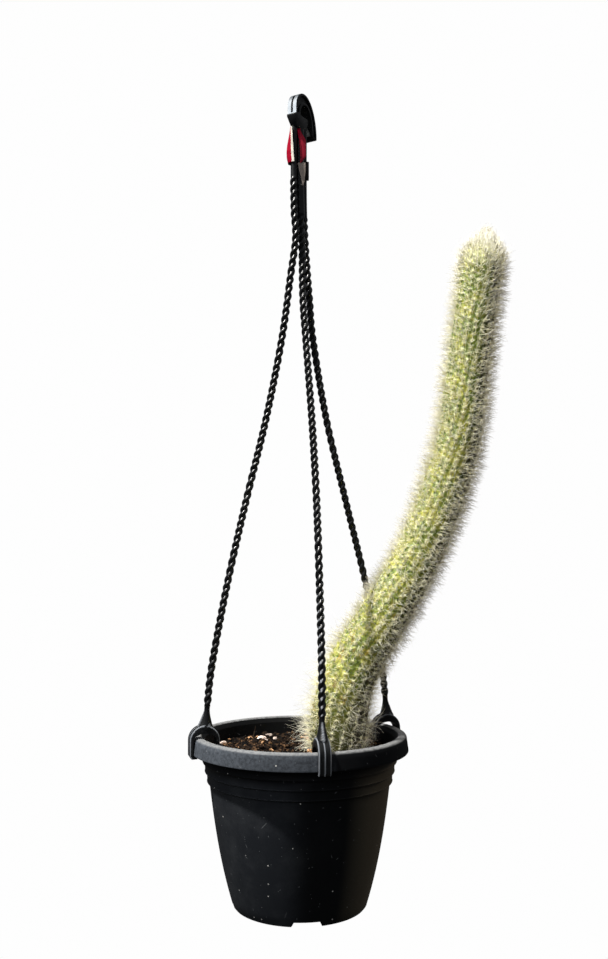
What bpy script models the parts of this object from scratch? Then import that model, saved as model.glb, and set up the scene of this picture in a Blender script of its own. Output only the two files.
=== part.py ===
# A monkey tail cactus in a black plastic hanging pot, at real size in metres, +Z up.
# Everything is modelled from the centre of the pot's rim top and hangs from one empty,
# which puts the world origin at the seat inside the hook's crown.
import math
import random

import bmesh
import bpy
from mathutils import Vector, noise

MM = 0.001
FIT = 0.3 * MM  # clearance between pieces that touch

# Pot, a 6 inch hanging pot
BAND_RADIUS = 76.5 * MM
BAND_TOP_RADIUS = 75.1 * MM
RIM_RADIUS = 69.4 * MM  # of the mouth's inner edge
BAND_HEIGHT = 11.6 * MM
POT_HEIGHT = 120.2 * MM
WALL = 1.8 * MM
FOOT_RADIUS = 47.0 * MM
FOOT_LAND = 3.2 * MM
FOOT_RECESS = 3.9 * MM
SHOULDER_RADIUS = 68.2 * MM
SKIRT_ROOF = 2.3 * MM  # depth of the hollow band's roof under the rim top
LIP_WIDTH = 4.1 * MM
TAPER_BEND = 0.38  # share of the wall's taper that comes low down
RIDGE_DEPTHS = (19.0 * MM, 25.8 * MM, 32.8 * MM)
RIDGE_STEP = 1.35 * MM
WALL_STEPS = 6
INNER_DEPTHS = (18.0 * MM, 38.0 * MM, 55.0 * MM, 75.0 * MM, 93.0 * MM, 107.0 * MM)
TURN_SEGMENTS = 36
NOTCH_COUNT = 4
NOTCH_FIRST_AZIMUTH = math.radians(-84)
NOTCH_WIDTH = 17.4 * MM
NOTCH_FLARE = 4.1 * MM
NOTCH_HEIGHT = 3.6 * MM
NOTCH_REACH = 12.0 * MM
DRAIN_COUNT = 4
DRAIN_RADIUS = 4.5 * MM
DRAIN_CIRCLE = 31.0 * MM

# Soil
SOIL_DEPTH = 12.5 * MM
SOIL_RELIEF = 1.3 * MM
CRUMB_COUNT = 24
CRUMB_SIZE = (1.5 * MM, 3.6 * MM)
CRUMB_FREE = 24 * MM  # bare soil round the stem's centre line
TWIG_LENGTH = 17 * MM
TWIG_PLACE = Vector((-32.0, -10.0)) * MM
TWIG_TURN = math.radians(-28)
SOIL_RINGS = (0.0, 0.18, 0.36, 0.54, 0.70, 0.84, 0.95)  # shares of the soil's radius

# Stem, with the points of its centre line
STEM_LINE = (
    Vector((25.0, 0.0, -40.0)) * MM,
    Vector((26.0, 0.0, -12.0)) * MM,
    Vector((31.0, -2.5, 22.0)) * MM,
    Vector((41.0, -6.5, 51.0)) * MM,
    Vector((58.0, -8.0, 80.0)) * MM,
    Vector((81.0, -8.0, 122.0)) * MM,
    Vector((98.5, -6.0, 164.0)) * MM,
    Vector((111.0, -5.0, 206.0)) * MM,
    Vector((117.0, -4.0, 248.0)) * MM,
    Vector((122.5, -4.0, 290.0)) * MM,
    Vector((127.5, -4.0, 325.0)) * MM,
    Vector((130.6, -4.0, 346.0)) * MM,
)
STEM_BURIED_RADIUS = 18.4 * MM
STEM_BASE_RADIUS = 17.2 * MM
STEM_TOP_RADIUS = 14.2 * MM
STEM_BUTT = 3.4 * MM  # how much thicker the stem is where it leaves the soil
STEM_BUTT_FADE = 38 * MM
STEM_FOOT = 30 * MM  # buried length
STEM_SWELL = 12 * MM  # length over which the foot takes the stem's width
STEM_DOME = 20 * MM
STEM_CAP = 24 * MM
CAP_SHARES = (0.72, 0.5, 0.3, 0.14, 0.04)
STEM_RINGS = 25
RIB_COUNT = 18
RIB_DEPTH = 2.1 * MM
SPINE_SPACING = 14.8 * MM
SPINE_LENGTH = (6.5 * MM, 8.8 * MM)
SPINE_ROOT = 0.8 * MM
SPINE_SUNK = 1.6 * MM
SPINE_START = 50 * MM  # length along the stem of the lowest row
TUFT_SPINES = 16
TUFT_LENGTH = 9.0 * MM
TUFT_RADIUS = 8.0 * MM

# Hook, in its own upright plane: s runs from the shank to the tip, heights are above the rim
HOOK_AZIMUTH = math.radians(60)
SEAT_S = 2.6 * MM
SEAT_HEIGHT = 442.8 * MM
HOOK_THICKNESS = 7.0 * MM
HOOK_WIDENING = 6.0  # extra thickness per metre of s
CROWN_S = 1.0 * MM
CROWN_HEIGHT = 450.3 * MM
SHANK_REACH = 11.8 * MM
TIP_REACH = 16.2 * MM
TIP_RISE = 26.3 * MM
TIP_HEIGHT = 423.4 * MM
THROAT_LEFT = 7.6 * MM
THROAT_RIGHT = 8.6 * MM
THROAT_RISE = 17.6 * MM
YOKE_TOP = 430.8 * MM
YOKE_BOTTOM = 425.6 * MM
YOKE_END_S = 5.4 * MM
YOKE_START_S = -8.2 * MM
LIP_HEIGHT = 433.4 * MM
LIP_REACH = 1.1 * MM
TIP_THICKNESS = 4.0 * MM
GROOVE_WIDTH = 1.7 * MM
GROOVE_DEPTH = 1.2 * MM
GROOVE_FOOT = 0.8 * MM  # where the groove starts above the lip
RECESS_DEPTH = 1.3 * MM
RECESS_EDGE = 1.8 * MM

# Strands: each route runs from the yoke down to the clip
ROPE_RADIUS = 2.75 * MM  # of the twisted bar's three edges
ROPE_PITCH = 15.3 * MM
RINGS_PER_TURN = 6
NECK_SIDES = 8
NECK_STRIDE = 4
NECK_RADIUS = 1.95 * MM
LOW_NECK_RADIUS = 2.3 * MM
STRANDS = {
    "strand_left": {
        "route": ((-4.0, -5.2, 425.3), (-4.2, -5.6, 391), (-3.8, -6.6, 366), (-2.8, -7.4, 347),
                  (-6.4, -6.2, 321), (-12.5, -6.0, 277), (-23.6, -8.2, 220), (-37.0, -11.6, 164),
                  (-49.5, -15.2, 108), (-60.0, -18.3, 53), (-63.8, -19.5, 26), (-65.2, -20.0, 6)),
        "azimuth": math.radians(197),
        "rope_top": 392.0 * MM,
    },
    "strand_front": {
        "route": ((0.1, -1.7, 425.3), (0.1, -1.9, 391), (0.7, -2.2, 366), (1.6, -2.9, 346),
                  (2.2, -7.6, 306), (4.3, -13.0, 275), (8.4, -24.5, 218), (11.4, -38.5, 162),
                  (13.1, -51.5, 109), (14.7, -61.6, 57), (15.3, -65.6, 27), (15.4, -67.2, 6)),
        "azimuth": math.radians(-77),
        "rope_top": 366.0 * MM,
    },
    "strand_right": {
        "route": ((2.8, 2.4, 425.3), (2.8, 2.7, 391), (3.1, 3.2, 366), (3.9, 3.4, 346),
                  (6.9, 3.7, 307), (9.5, 4.8, 278), (19.1, 8.9, 222), (33.0, 15.4, 165),
                  (47.5, 21.8, 107), (58.3, 26.0, 56), (62.2, 27.7, 26), (63.2, 28.1, 6)),
        "azimuth": math.radians(24),
        "rope_top": 366.0 * MM,
    },
}
ROPE_BOTTOM = 24.0 * MM
OVERLAP_RINGS = 1.6  # how far a neck reaches into its rope
FLARE_TOP = 18.0 * MM
FLARE_RADIAL = 5.0 * MM
FLARE_TANGENT = 4.7 * MM
CLIP_WIDTH = 8.5 * MM
CLIP_STRAP = 2.2 * MM
CLIP_OUTER = 79.1 * MM
CLIP_ARCH_RADIUS = 10.0 * MM
CLIP_TOP = 7.4 * MM
CLIP_INNER_END = 9.6 * MM
CLIP_LIP = 2.9 * MM
CLIP_LIP_THICKNESS = 1.8 * MM
ARCH_STEPS = 8
TAB_SIZE = Vector((2.6, 1.4, 12.5)) * MM
TAB_CENTRE = Vector((5.6, 2.7, 397.5)) * MM

# Label, as its plan line at full bulge and the share of the bulge from bottom to top
TAG_PLAN = ((4.2, -4.4), (0.5, -4.75), (-1.7, -3.8), (-3.5, -2.2),
            (-6.3, -1.7), (-8.7, -3.0), (-9.1, -5.1), (-8.1, -6.8), (-6.8, -7.3))
TAG_CURL_START = 4
TAG_BOTTOM = 400.2 * MM
TAG_TOP = 424.9 * MM
TAG_BULGE = (0.6, 0.95, 1.0, 0.85, 0.55, 0.25, 0.0)
TAG_SHEET = 0.7 * MM


def clear_scene():
    for old in list(bpy.data.objects):
        bpy.data.objects.remove(old, do_unlink=True)


def plastic(name, colour, roughness):
    material = bpy.data.materials.new(name)
    material.use_nodes = True
    shader = material.node_tree.nodes["Principled BSDF"]
    shader.inputs["Base Color"].default_value = (*colour, 1.0)
    shader.inputs["Roughness"].default_value = roughness
    shader.inputs["Metallic"].default_value = 0.0
    return material


def add_object(bm, name, material=None, helper=False):
    """Turns a bmesh into an object under the rim's empty, with its faces pointing out."""
    bmesh.ops.recalc_face_normals(bm, faces=bm.faces)
    mesh = bpy.data.meshes.new(name)
    bm.to_mesh(mesh)
    bm.free()
    obj = bpy.data.objects.new(name, mesh)
    bpy.context.scene.collection.objects.link(obj)
    obj.parent = bpy.data.objects["rim_centre"]
    if material:
        mesh.materials.append(material)
        mesh.shade_smooth()
        mesh.set_sharp_from_angle(angle=math.radians(40))
    if helper:
        obj.hide_render = True
        obj.display_type = "WIRE"
    return obj


def boolean(obj, other, operation):
    modifier = obj.modifiers.new(operation.lower(), "BOOLEAN")
    modifier.operation = operation
    modifier.solver = "EXACT"
    if isinstance(other, bpy.types.Collection):
        modifier.operand_type = "COLLECTION"
        modifier.collection = other
    else:
        modifier.object = other
    return modifier


def fuse_all(obj, extras):
    """Joins the extra objects to obj with one Boolean, applies it and removes them."""
    group = bpy.data.collections.new(obj.name + "_extras")
    bpy.context.scene.collection.children.link(group)
    for extra in extras:
        bpy.context.scene.collection.objects.unlink(extra)
        group.objects.link(extra)
    boolean(obj, group, "UNION")
    bpy.context.view_layer.objects.active = obj
    bpy.ops.object.modifier_apply(modifier="union")
    for extra in extras:
        bpy.data.objects.remove(extra, do_unlink=True)
    bpy.data.collections.remove(group)


def turned(profile, segments=TURN_SEGMENTS):
    """A solid turned round the pot's axis from (radius, height) points that start and end on it."""
    bm = bmesh.new()
    chain = [bm.verts.new((radius, 0.0, height)) for radius, height in profile]
    edges = [bm.edges.new(pair) for pair in zip(chain, chain[1:])]
    bmesh.ops.spin(bm, geom=chain + edges, cent=(0, 0, 0), axis=(0, 0, 1),
                   angle=math.tau, steps=segments, use_merge=True)
    bmesh.ops.remove_doubles(bm, verts=bm.verts, dist=0.00001)
    return bm


def skin(rings):
    """A closed solid through rings of points, one after another."""
    bm = bmesh.new()
    loops = [[bm.verts.new(point) for point in ring] for ring in rings]
    bm.faces.new(loops[0])
    bm.faces.new(loops[-1])
    for lower, upper in zip(loops, loops[1:]):
        for i in range(len(lower)):
            j = (i + 1) % len(lower)
            bm.faces.new((lower[i], lower[j], upper[j], upper[i]))
    return bm


def prism(outline, depth, place):
    """An outline in a plane, made depth thick: place(a, b, t) gives the point."""
    back = [place(a, b, -depth / 2) for a, b in outline]
    front = [place(a, b, depth / 2) for a, b in outline]
    return skin([back, front])


def smooth_route(points, step):
    """Points about a step apart on a Catmull-Rom curve through the route's own points."""
    ends = [points[0] * 2 - points[1], *points, points[-1] * 2 - points[-2]]
    route = []
    for before, start, end, after in zip(ends, ends[1:], ends[2:], ends[3:]):
        count = max(1, round((end - start).length / step))
        for i in range(count):
            t = i / count
            route.append(0.5 * (2 * start + (end - before) * t
                                + (2 * before - 5 * start + 4 * end - after) * t * t
                                + (3 * start - before - 3 * end + after) * t ** 3))
    route.append(points[-1].copy())
    return route


def frames_along(route):
    """(point, side, across) at each point of a route, with the pair square to it."""
    frames = []
    for i, point in enumerate(route):
        ahead = route[min(i + 1, len(route) - 1)]
        behind = route[max(i - 1, 0)]
        along = (ahead - behind).normalized()
        across = along.cross(Vector((1, 0, 0))).normalized()
        side = across.cross(along).normalized()
        frames.append((point, side, across))
    return frames


def body_radius(depth):
    """Outer radius of the pot's wall at a depth under the rim."""
    last_ridge = RIDGE_DEPTHS[-1]
    if depth <= last_ridge:
        steps = sum(depth > ridge for ridge in RIDGE_DEPTHS)
        return SHOULDER_RADIUS - steps * RIDGE_STEP - 0.03 * (depth - RIDGE_DEPTHS[0])
    t = (depth - last_ridge) / (POT_HEIGHT - last_ridge)
    top = SHOULDER_RADIUS - 3.4 * RIDGE_STEP
    return top - (top - FOOT_RADIUS) * ((1 - TAPER_BEND) * t + TAPER_BEND * t ** 2.6)


def wall_depths():
    depths = []
    for ridge in RIDGE_DEPTHS:
        depths += [ridge - 0.3 * MM, ridge + 0.9 * MM]
    for i in range(1, WALL_STEPS + 1):
        depths.append(RIDGE_DEPTHS[-1] + (POT_HEIGHT - 1.4 * MM - RIDGE_DEPTHS[-1]) * i / WALL_STEPS)
    return depths


def inner_wall(clearance):
    """(radius, height) down the pot's inside, from under the rim to the floor."""
    floor_depth = POT_HEIGHT - FOOT_RECESS - WALL
    points = [(SHOULDER_RADIUS - WALL - clearance, -SOIL_DEPTH)]
    for depth in INNER_DEPTHS:
        lowered = body_radius(depth + 1.2 * MM) - WALL - 0.3 * MM
        points.append((lowered - clearance, -depth))
    points.append((body_radius(floor_depth) - WALL - 3.0 * MM - clearance, -floor_depth + clearance))
    return points


def make_pot(material):
    outer = [(body_radius(depth), -depth) for depth in wall_depths()]
    profile = [
        (0.0, -POT_HEIGHT + FOOT_RECESS),
        (FOOT_RADIUS - FOOT_LAND, -POT_HEIGHT + FOOT_RECESS),
        (FOOT_RADIUS - FOOT_LAND, -POT_HEIGHT),
        (FOOT_RADIUS - 0.7 * MM, -POT_HEIGHT),
        *reversed(outer),
        (SHOULDER_RADIUS + 0.5 * MM, -SKIRT_ROOF - 1.2 * MM),
        (SHOULDER_RADIUS + 1.3 * MM, -SKIRT_ROOF),
        (BAND_TOP_RADIUS - WALL - 0.8 * MM, -SKIRT_ROOF),
        (BAND_TOP_RADIUS - WALL, -SKIRT_ROOF - 1.0 * MM),
        (BAND_RADIUS - WALL, -BAND_HEIGHT),
        (BAND_RADIUS, -BAND_HEIGHT),
        (BAND_TOP_RADIUS + 0.1 * MM, -1.7 * MM),
        (BAND_TOP_RADIUS - 1.0 * MM, -0.5 * MM),
        (BAND_TOP_RADIUS - 2.6 * MM, 0.0),
        (BAND_TOP_RADIUS - 0.6 * MM - LIP_WIDTH, 0.0),
        (RIM_RADIUS, -0.7 * MM),
        (SHOULDER_RADIUS - WALL + 0.5 * MM, -3.8 * MM),
        *inner_wall(0.0),
        (0.0, -POT_HEIGHT + FOOT_RECESS + WALL),
    ]
    pot = add_object(turned(profile), "pot", material)
    for i in range(NOTCH_COUNT):
        azimuth = NOTCH_FIRST_AZIMUTH + i * math.tau / NOTCH_COUNT
        boolean(pot, notch_cutter(azimuth, i), "DIFFERENCE").name = f"notch_{i}"
    for i in range(DRAIN_COUNT):
        azimuth = NOTCH_FIRST_AZIMUTH + (i + 0.5) * math.tau / DRAIN_COUNT
        boolean(pot, drain_cutter(azimuth, i), "DIFFERENCE").name = f"drain_{i}"
    return pot


def notch_cutter(azimuth, index):
    """A wedge across the foot ring, wider at the bottom."""
    bottom = -POT_HEIGHT - 1.0 * MM
    top = -POT_HEIGHT + NOTCH_HEIGHT
    half = NOTCH_WIDTH / 2
    outline = [(-half - NOTCH_FLARE / 2, bottom), (half + NOTCH_FLARE / 2, bottom), (half, top), (-half, top)]
    middle = FOOT_RADIUS

    def place(a, b, t):
        radial = Vector((math.cos(azimuth), math.sin(azimuth), 0))
        tangent = Vector((-radial.y, radial.x, 0))
        return radial * (middle + t) + tangent * a + Vector((0, 0, b))

    return add_object(prism(outline, NOTCH_REACH, place), f"notch_cutter_{index}", helper=True)


def drain_cutter(azimuth, index):
    bm = bmesh.new()
    bmesh.ops.create_cone(bm, cap_ends=True, segments=12, radius1=DRAIN_RADIUS, radius2=DRAIN_RADIUS,
                          depth=4 * WALL)
    middle = Vector((DRAIN_CIRCLE * math.cos(azimuth), DRAIN_CIRCLE * math.sin(azimuth),
                     -POT_HEIGHT + FOOT_RECESS + WALL / 2))
    bmesh.ops.translate(bm, verts=bm.verts, vec=middle)
    return add_object(bm, f"drain_cutter_{index}", helper=True)


def soil_height(x, y):
    """Height of the soil's top, uneven by a few grains."""
    rough = noise.noise(Vector((x, y, 0.0)) * 140.0) + 0.6 * noise.noise(Vector((x, y, 0.02)) * 330.0)
    return -SOIL_DEPTH + SOIL_RELIEF * rough


def make_soil(material):
    rim = SHOULDER_RADIUS - WALL - FIT
    rings = [rim * share for share in SOIL_RINGS]
    profile = [(radius, -SOIL_DEPTH) for radius in rings] + inner_wall(FIT)
    profile.append((0.0, profile[-1][1]))
    bm = turned(profile)
    for vert in bm.verts:
        if abs(vert.co.z + SOIL_DEPTH) < FIT and vert.co.xy.length < 0.97 * rim:
            vert.co.z = soil_height(vert.co.x, vert.co.y)
    soil = add_object(bm, "soil", material)
    fuse_all(soil, crumbs())
    hole = add_object(stem_hole(), "stem_hole", helper=True)
    boolean(soil, hole, "DIFFERENCE")
    return soil


def crumbs():
    """Bark chips and pumice grains half sunk in the soil, and one thin twig."""
    draw = random.Random(14)
    made = []
    reach = SHOULDER_RADIUS - WALL - CRUMB_SIZE[1] - 3 * MM
    while len(made) < CRUMB_COUNT:
        x = draw.uniform(-reach, reach)
        y = draw.uniform(-reach, reach)
        if math.hypot(x, y) > reach or math.hypot(x - STEM_LINE[1].x, y) < CRUMB_FREE:
            continue
        size = draw.uniform(*CRUMB_SIZE)
        bm = bmesh.new()
        bmesh.ops.create_icosphere(bm, subdivisions=1, radius=size)
        for vert in bm.verts:
            vert.co *= draw.uniform(0.75, 1.15)
            vert.co.z *= 0.6
        made.append(seated(bm, x, y, draw.uniform(0, math.tau), len(made)))
    twig = bmesh.new()
    bmesh.ops.create_cone(twig, cap_ends=True, segments=5, radius1=0.9 * MM, radius2=0.6 * MM,
                          depth=TWIG_LENGTH)
    for vert in twig.verts:
        vert.co = Vector((vert.co.z, vert.co.y, vert.co.x + 0.2 * MM))
    made.append(seated(twig, TWIG_PLACE.x, TWIG_PLACE.y, TWIG_TURN, len(made)))
    return made


def seated(bm, x, y, turn, index):
    """Turns a shape about +Z and sets its middle on the soil's top."""
    cos, sin = math.cos(turn), math.sin(turn)
    for vert in bm.verts:
        side, ahead = vert.co.x, vert.co.y
        vert.co.x = x + side * cos - ahead * sin
        vert.co.y = y + side * sin + ahead * cos
        vert.co.z += soil_height(x, y)
    return add_object(bm, f"crumb_{index}")


def stem_hole():
    """A plain slanting hole that clears the buried foot of the stem."""
    foot, mouth = STEM_LINE[0], STEM_LINE[1]
    along = (mouth - foot).normalized()
    wide = STEM_BURIED_RADIUS + 2 * FIT
    ends = (foot - along * 1.5 * FIT, mouth + along * 14 * MM)
    rings = []
    for end in ends:
        ring = []
        for i in range(RIB_COUNT):
            turn = math.tau * i / RIB_COUNT
            ring.append(end + Vector((wide * math.cos(turn), wide * math.sin(turn), 0)))
        rings.append(ring)
    return skin(rings)


def stem_route():
    """The stem's centre line in even steps, with its length so far at each point."""
    route = smooth_route(STEM_LINE, 2 * MM)
    lengths = [0.0]
    for before, point in zip(route, route[1:]):
        lengths.append(lengths[-1] + (point - before).length)
    return route, lengths


def at_length(route, lengths, wanted):
    for i in range(1, len(route)):
        if lengths[i] >= wanted:
            t = (wanted - lengths[i - 1]) / (lengths[i] - lengths[i - 1])
            return route[i - 1].lerp(route[i], t)
    return route[-1].copy()


def stem_radius(length, total):
    """Half width over the rib crests: a plain foot, a slow taper and a round tip."""
    if length < STEM_FOOT:
        return STEM_BURIED_RADIUS
    share = (length - STEM_FOOT) / (total - STEM_FOOT)
    wide = STEM_BASE_RADIUS + (STEM_TOP_RADIUS - STEM_BASE_RADIUS) * share
    wide += STEM_BUTT * math.exp((STEM_FOOT - length) / STEM_BUTT_FADE)
    if length < STEM_FOOT + STEM_SWELL:
        grown = (length - STEM_FOOT) / STEM_SWELL
        wide = STEM_BURIED_RADIUS + (wide - STEM_BURIED_RADIUS) * grown
    left = total - length
    if left < STEM_DOME:
        wide *= math.sqrt(max(0.0, 1 - (1 - left / STEM_DOME) ** 2.2))
    return wide


def make_stem(material):
    route, lengths = stem_route()
    total = lengths[-1]
    stops = [(total - STEM_CAP) * i / STEM_RINGS for i in range(STEM_RINGS + 1)]
    stops += [total - STEM_CAP * share for share in CAP_SHARES]
    frames = frames_along([at_length(route, lengths, stop) for stop in stops])
    rings = []
    for stop, (point, side, across) in zip(stops, frames):
        wide = stem_radius(stop, total)
        ring = []
        for i in range(2 * RIB_COUNT):
            turn = math.tau * i / (2 * RIB_COUNT)
            deep = RIB_DEPTH * min(1.0, wide / STEM_TOP_RADIUS) * (i % 2)
            ring.append(point + (wide - deep) * (math.cos(turn) * side + math.sin(turn) * across))
        rings.append(ring)
    stem = add_object(skin(rings), "stem", material)
    fuse_all(stem, spines(route, lengths, total))
    return stem


def spines(route, lengths, total):
    """Three-sided needles along the crests of the ribs and in a tuft at the tip."""
    draw = random.Random(5)
    made = []
    rows = int((total - SPINE_START - STEM_DOME / 2) / SPINE_SPACING)
    for row in range(rows):
        for rib in range(RIB_COUNT):
            length = SPINE_START + (row + 0.5 * (rib % 2)) * SPINE_SPACING
            stations = [at_length(route, lengths, length + step * MM) for step in (-1, 0, 1)]
            point, side, across = frames_along(stations)[1]
            turn = math.tau * rib / RIB_COUNT
            out = math.cos(turn) * side + math.sin(turn) * across
            along = (stations[2] - stations[0]).normalized()
            lean = out + along * draw.uniform(-0.15, 0.65) + out.cross(along) * draw.uniform(-0.45, 0.45)
            root = point + out * (stem_radius(length, total) - SPINE_SUNK)
            made.append(needle(root, lean.normalized(), draw.uniform(*SPINE_LENGTH), len(made)))
    tip_frame = frames_along(route)[-1]
    along = (route[-1] - route[-2]).normalized()
    for i in range(TUFT_SPINES):
        turn = i * 2.4
        spread = 0.25 + 0.75 * i / TUFT_SPINES
        out = (math.cos(turn) * tip_frame[1] + math.sin(turn) * tip_frame[2]) * spread
        root = route[-1] - along * (3.0 + 4.5 * spread * spread) * MM + out * TUFT_RADIUS
        made.append(needle(root, (along + out).normalized(), TUFT_LENGTH, len(made)))
    return made


def needle(root, direction, length, index):
    across = direction.cross(Vector((0.3, 1, 0.2))).normalized()
    other = direction.cross(across)
    bm = bmesh.new()
    corners = []
    for i in range(3):
        turn = math.tau * i / 3
        offset = (math.cos(turn) * across + math.sin(turn) * other) * SPINE_ROOT
        corners.append(bm.verts.new(root + offset))
    tip = bm.verts.new(root + direction * (length + SPINE_SUNK))
    bm.faces.new(corners)
    for i in range(3):
        bm.faces.new((corners[i], corners[(i + 1) % 3], tip))
    return add_object(bm, f"spine_{index}")


def hook_place(s, height, t):
    """A point of the hook from its own plane, wider towards the tip."""
    wider = 1 + HOOK_WIDENING * (s + SHANK_REACH - CROWN_S)
    ahead = Vector((math.cos(HOOK_AZIMUTH), math.sin(HOOK_AZIMUTH), 0))
    aside = Vector((-ahead.y, ahead.x, 0))
    return ahead * s + aside * t * wider + Vector((0, 0, height))


def hook_back(offset, steps=16):
    """The hook's outer line over the crown, moved out by an offset, from the shank to the tip."""
    points = [(CROWN_S - SHANK_REACH - offset, LIP_HEIGHT + GROOVE_FOOT)] if offset else []
    for i in range(steps // 2):
        turn = math.pi / 2 * i / (steps // 2)
        wide = SHANK_REACH + offset
        points.append((CROWN_S - wide * math.cos(turn),
                       CROWN_HEIGHT - SHANK_REACH + wide * math.sin(turn)))
    for i in range(steps + 1):
        turn = math.pi / 2 * i / steps
        points.append((CROWN_S + (TIP_REACH + offset) * math.sin(turn),
                       CROWN_HEIGHT - TIP_RISE + (TIP_RISE + offset) * math.cos(turn)))
    return points


def hook_throat(offset, steps=8):
    """The hook's inner line from the tip over the seat to the shank, moved out by an offset."""
    points = []
    for i in range(steps + 1):
        turn = math.pi / 2 * i / steps
        points.append((SEAT_S + (THROAT_RIGHT + offset) * math.cos(turn),
                       SEAT_HEIGHT - THROAT_RISE + (THROAT_RISE + offset) * math.sin(turn)))
    for i in range(1, steps + 1):
        turn = math.pi / 2 * i / steps
        points.append((SEAT_S - (THROAT_LEFT + offset) * math.sin(turn),
                       SEAT_HEIGHT - THROAT_LEFT + (THROAT_LEFT + offset) * math.cos(turn)))
    return points


def make_hook(material):
    shank_s = CROWN_S - SHANK_REACH
    tip_s = CROWN_S + TIP_REACH
    outline = [
        (YOKE_START_S, YOKE_BOTTOM),
        (shank_s - LIP_REACH, LIP_HEIGHT - 1.8 * MM),
        (shank_s - LIP_REACH, LIP_HEIGHT - 0.4 * MM),
        (shank_s, LIP_HEIGHT),
        *hook_back(0.0),
        (tip_s - 0.6 * MM, TIP_HEIGHT),
        (tip_s + 0.4 * MM - TIP_THICKNESS, TIP_HEIGHT),
        (tip_s - 0.6 * MM - TIP_THICKNESS, TIP_HEIGHT + 0.9 * MM),
        *hook_throat(0.0),
        (SEAT_S - THROAT_LEFT, YOKE_TOP),
        (YOKE_END_S - 0.9 * MM, YOKE_TOP),
        (YOKE_END_S, YOKE_TOP - 0.9 * MM),
        (YOKE_END_S - 0.3 * MM, YOKE_BOTTOM),
    ]
    hook = add_object(prism(outline, HOOK_THICKNESS, hook_place), "hook", material)
    groove = hook_back(1.0 * MM) + list(reversed(hook_back(-GROOVE_DEPTH)))
    cutter = add_object(prism(groove, GROOVE_WIDTH, hook_place), "groove_cutter", helper=True)
    boolean(hook, cutter, "DIFFERENCE").name = "groove"
    band = hook_back(-RECESS_EDGE) + hook_throat(RECESS_EDGE)

    for sign in (-1, 1):
        middle = sign * HOOK_THICKNESS / 2

        def place(a, b, t, middle=middle):
            return hook_place(a, b, middle + t)

        cutter = add_object(prism(band, 2 * RECESS_DEPTH, place), f"recess_cutter_{sign + 1}", helper=True)
        boolean(hook, cutter, "DIFFERENCE").name = f"recess_{sign + 1}"
    return hook


def clip_outline():
    """The clip over the rim, in the radial plane: a lip under the band, a leg, a round arch, a leg."""
    lip_top = -BAND_HEIGHT - FIT
    lip_bottom = lip_top - CLIP_LIP_THICKNESS
    outer_face = CLIP_OUTER - CLIP_STRAP
    middle = CLIP_OUTER - CLIP_ARCH_RADIUS
    spring = CLIP_TOP - CLIP_ARCH_RADIUS

    def arch(radius):
        turns = [math.pi * i / ARCH_STEPS for i in range(ARCH_STEPS + 1)]
        return [(middle + radius * math.cos(turn), spring + radius * math.sin(turn)) for turn in turns]

    return [
        (outer_face - CLIP_LIP, lip_bottom),
        (CLIP_OUTER - 1.4 * MM, lip_bottom),
        (CLIP_OUTER, lip_bottom + 2.0 * MM),
        *arch(CLIP_ARCH_RADIUS),
        (middle - CLIP_ARCH_RADIUS, -CLIP_INNER_END),
        (middle - CLIP_ARCH_RADIUS + CLIP_STRAP, -CLIP_INNER_END),
        *reversed(arch(CLIP_ARCH_RADIUS - CLIP_STRAP)),
        (outer_face, lip_top),
        (outer_face - CLIP_LIP, lip_top),
    ]


def around(point, side, across, turn, corners, radius):
    """A ring of corners about a point, square to its route."""
    ring = []
    for i in range(corners):
        angle = turn + math.tau * i / corners
        ring.append(point + radius * (math.cos(angle) * side + math.sin(angle) * across))
    return ring


def rope_solid(route):
    """A three-cornered bar twisted along its route, which looks like laid cord."""
    rings = []
    travelled = 0.0
    previous = route[0]
    for point, side, across in frames_along(route):
        travelled += (point - previous).length
        previous = point
        turn = math.tau * travelled / ROPE_PITCH
        rings.append(around(point, side, across, turn, 3, ROPE_RADIUS))
    return skin(rings)


def neck_solid(route):
    frames = frames_along(route)
    return skin([around(*frame, 0.0, NECK_SIDES, NECK_RADIUS) for frame in frames])


def foot_solid(route, radial, tangent):
    """The plain lower neck, which widens both ways into the clip's arch."""
    rings = []
    fall = FLARE_TOP - CLIP_TOP + 1 * MM
    for point, side, across in frames_along(route):
        share = min(1.0, max(0.0, FLARE_TOP - point.z) / fall) ** 1.8
        out = LOW_NECK_RADIUS + (FLARE_RADIAL - LOW_NECK_RADIUS) * share
        wide = LOW_NECK_RADIUS + (FLARE_TANGENT - LOW_NECK_RADIUS) * share
        ring = []
        for corner in around(Vector((0, 0, 0)), side, across, 0.0, NECK_SIDES, 1.0):
            spread = radial * corner.dot(radial) * out + tangent * corner.dot(tangent) * wide
            ring.append(point + spread)
        rings.append(ring)
    return skin(rings)


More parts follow.
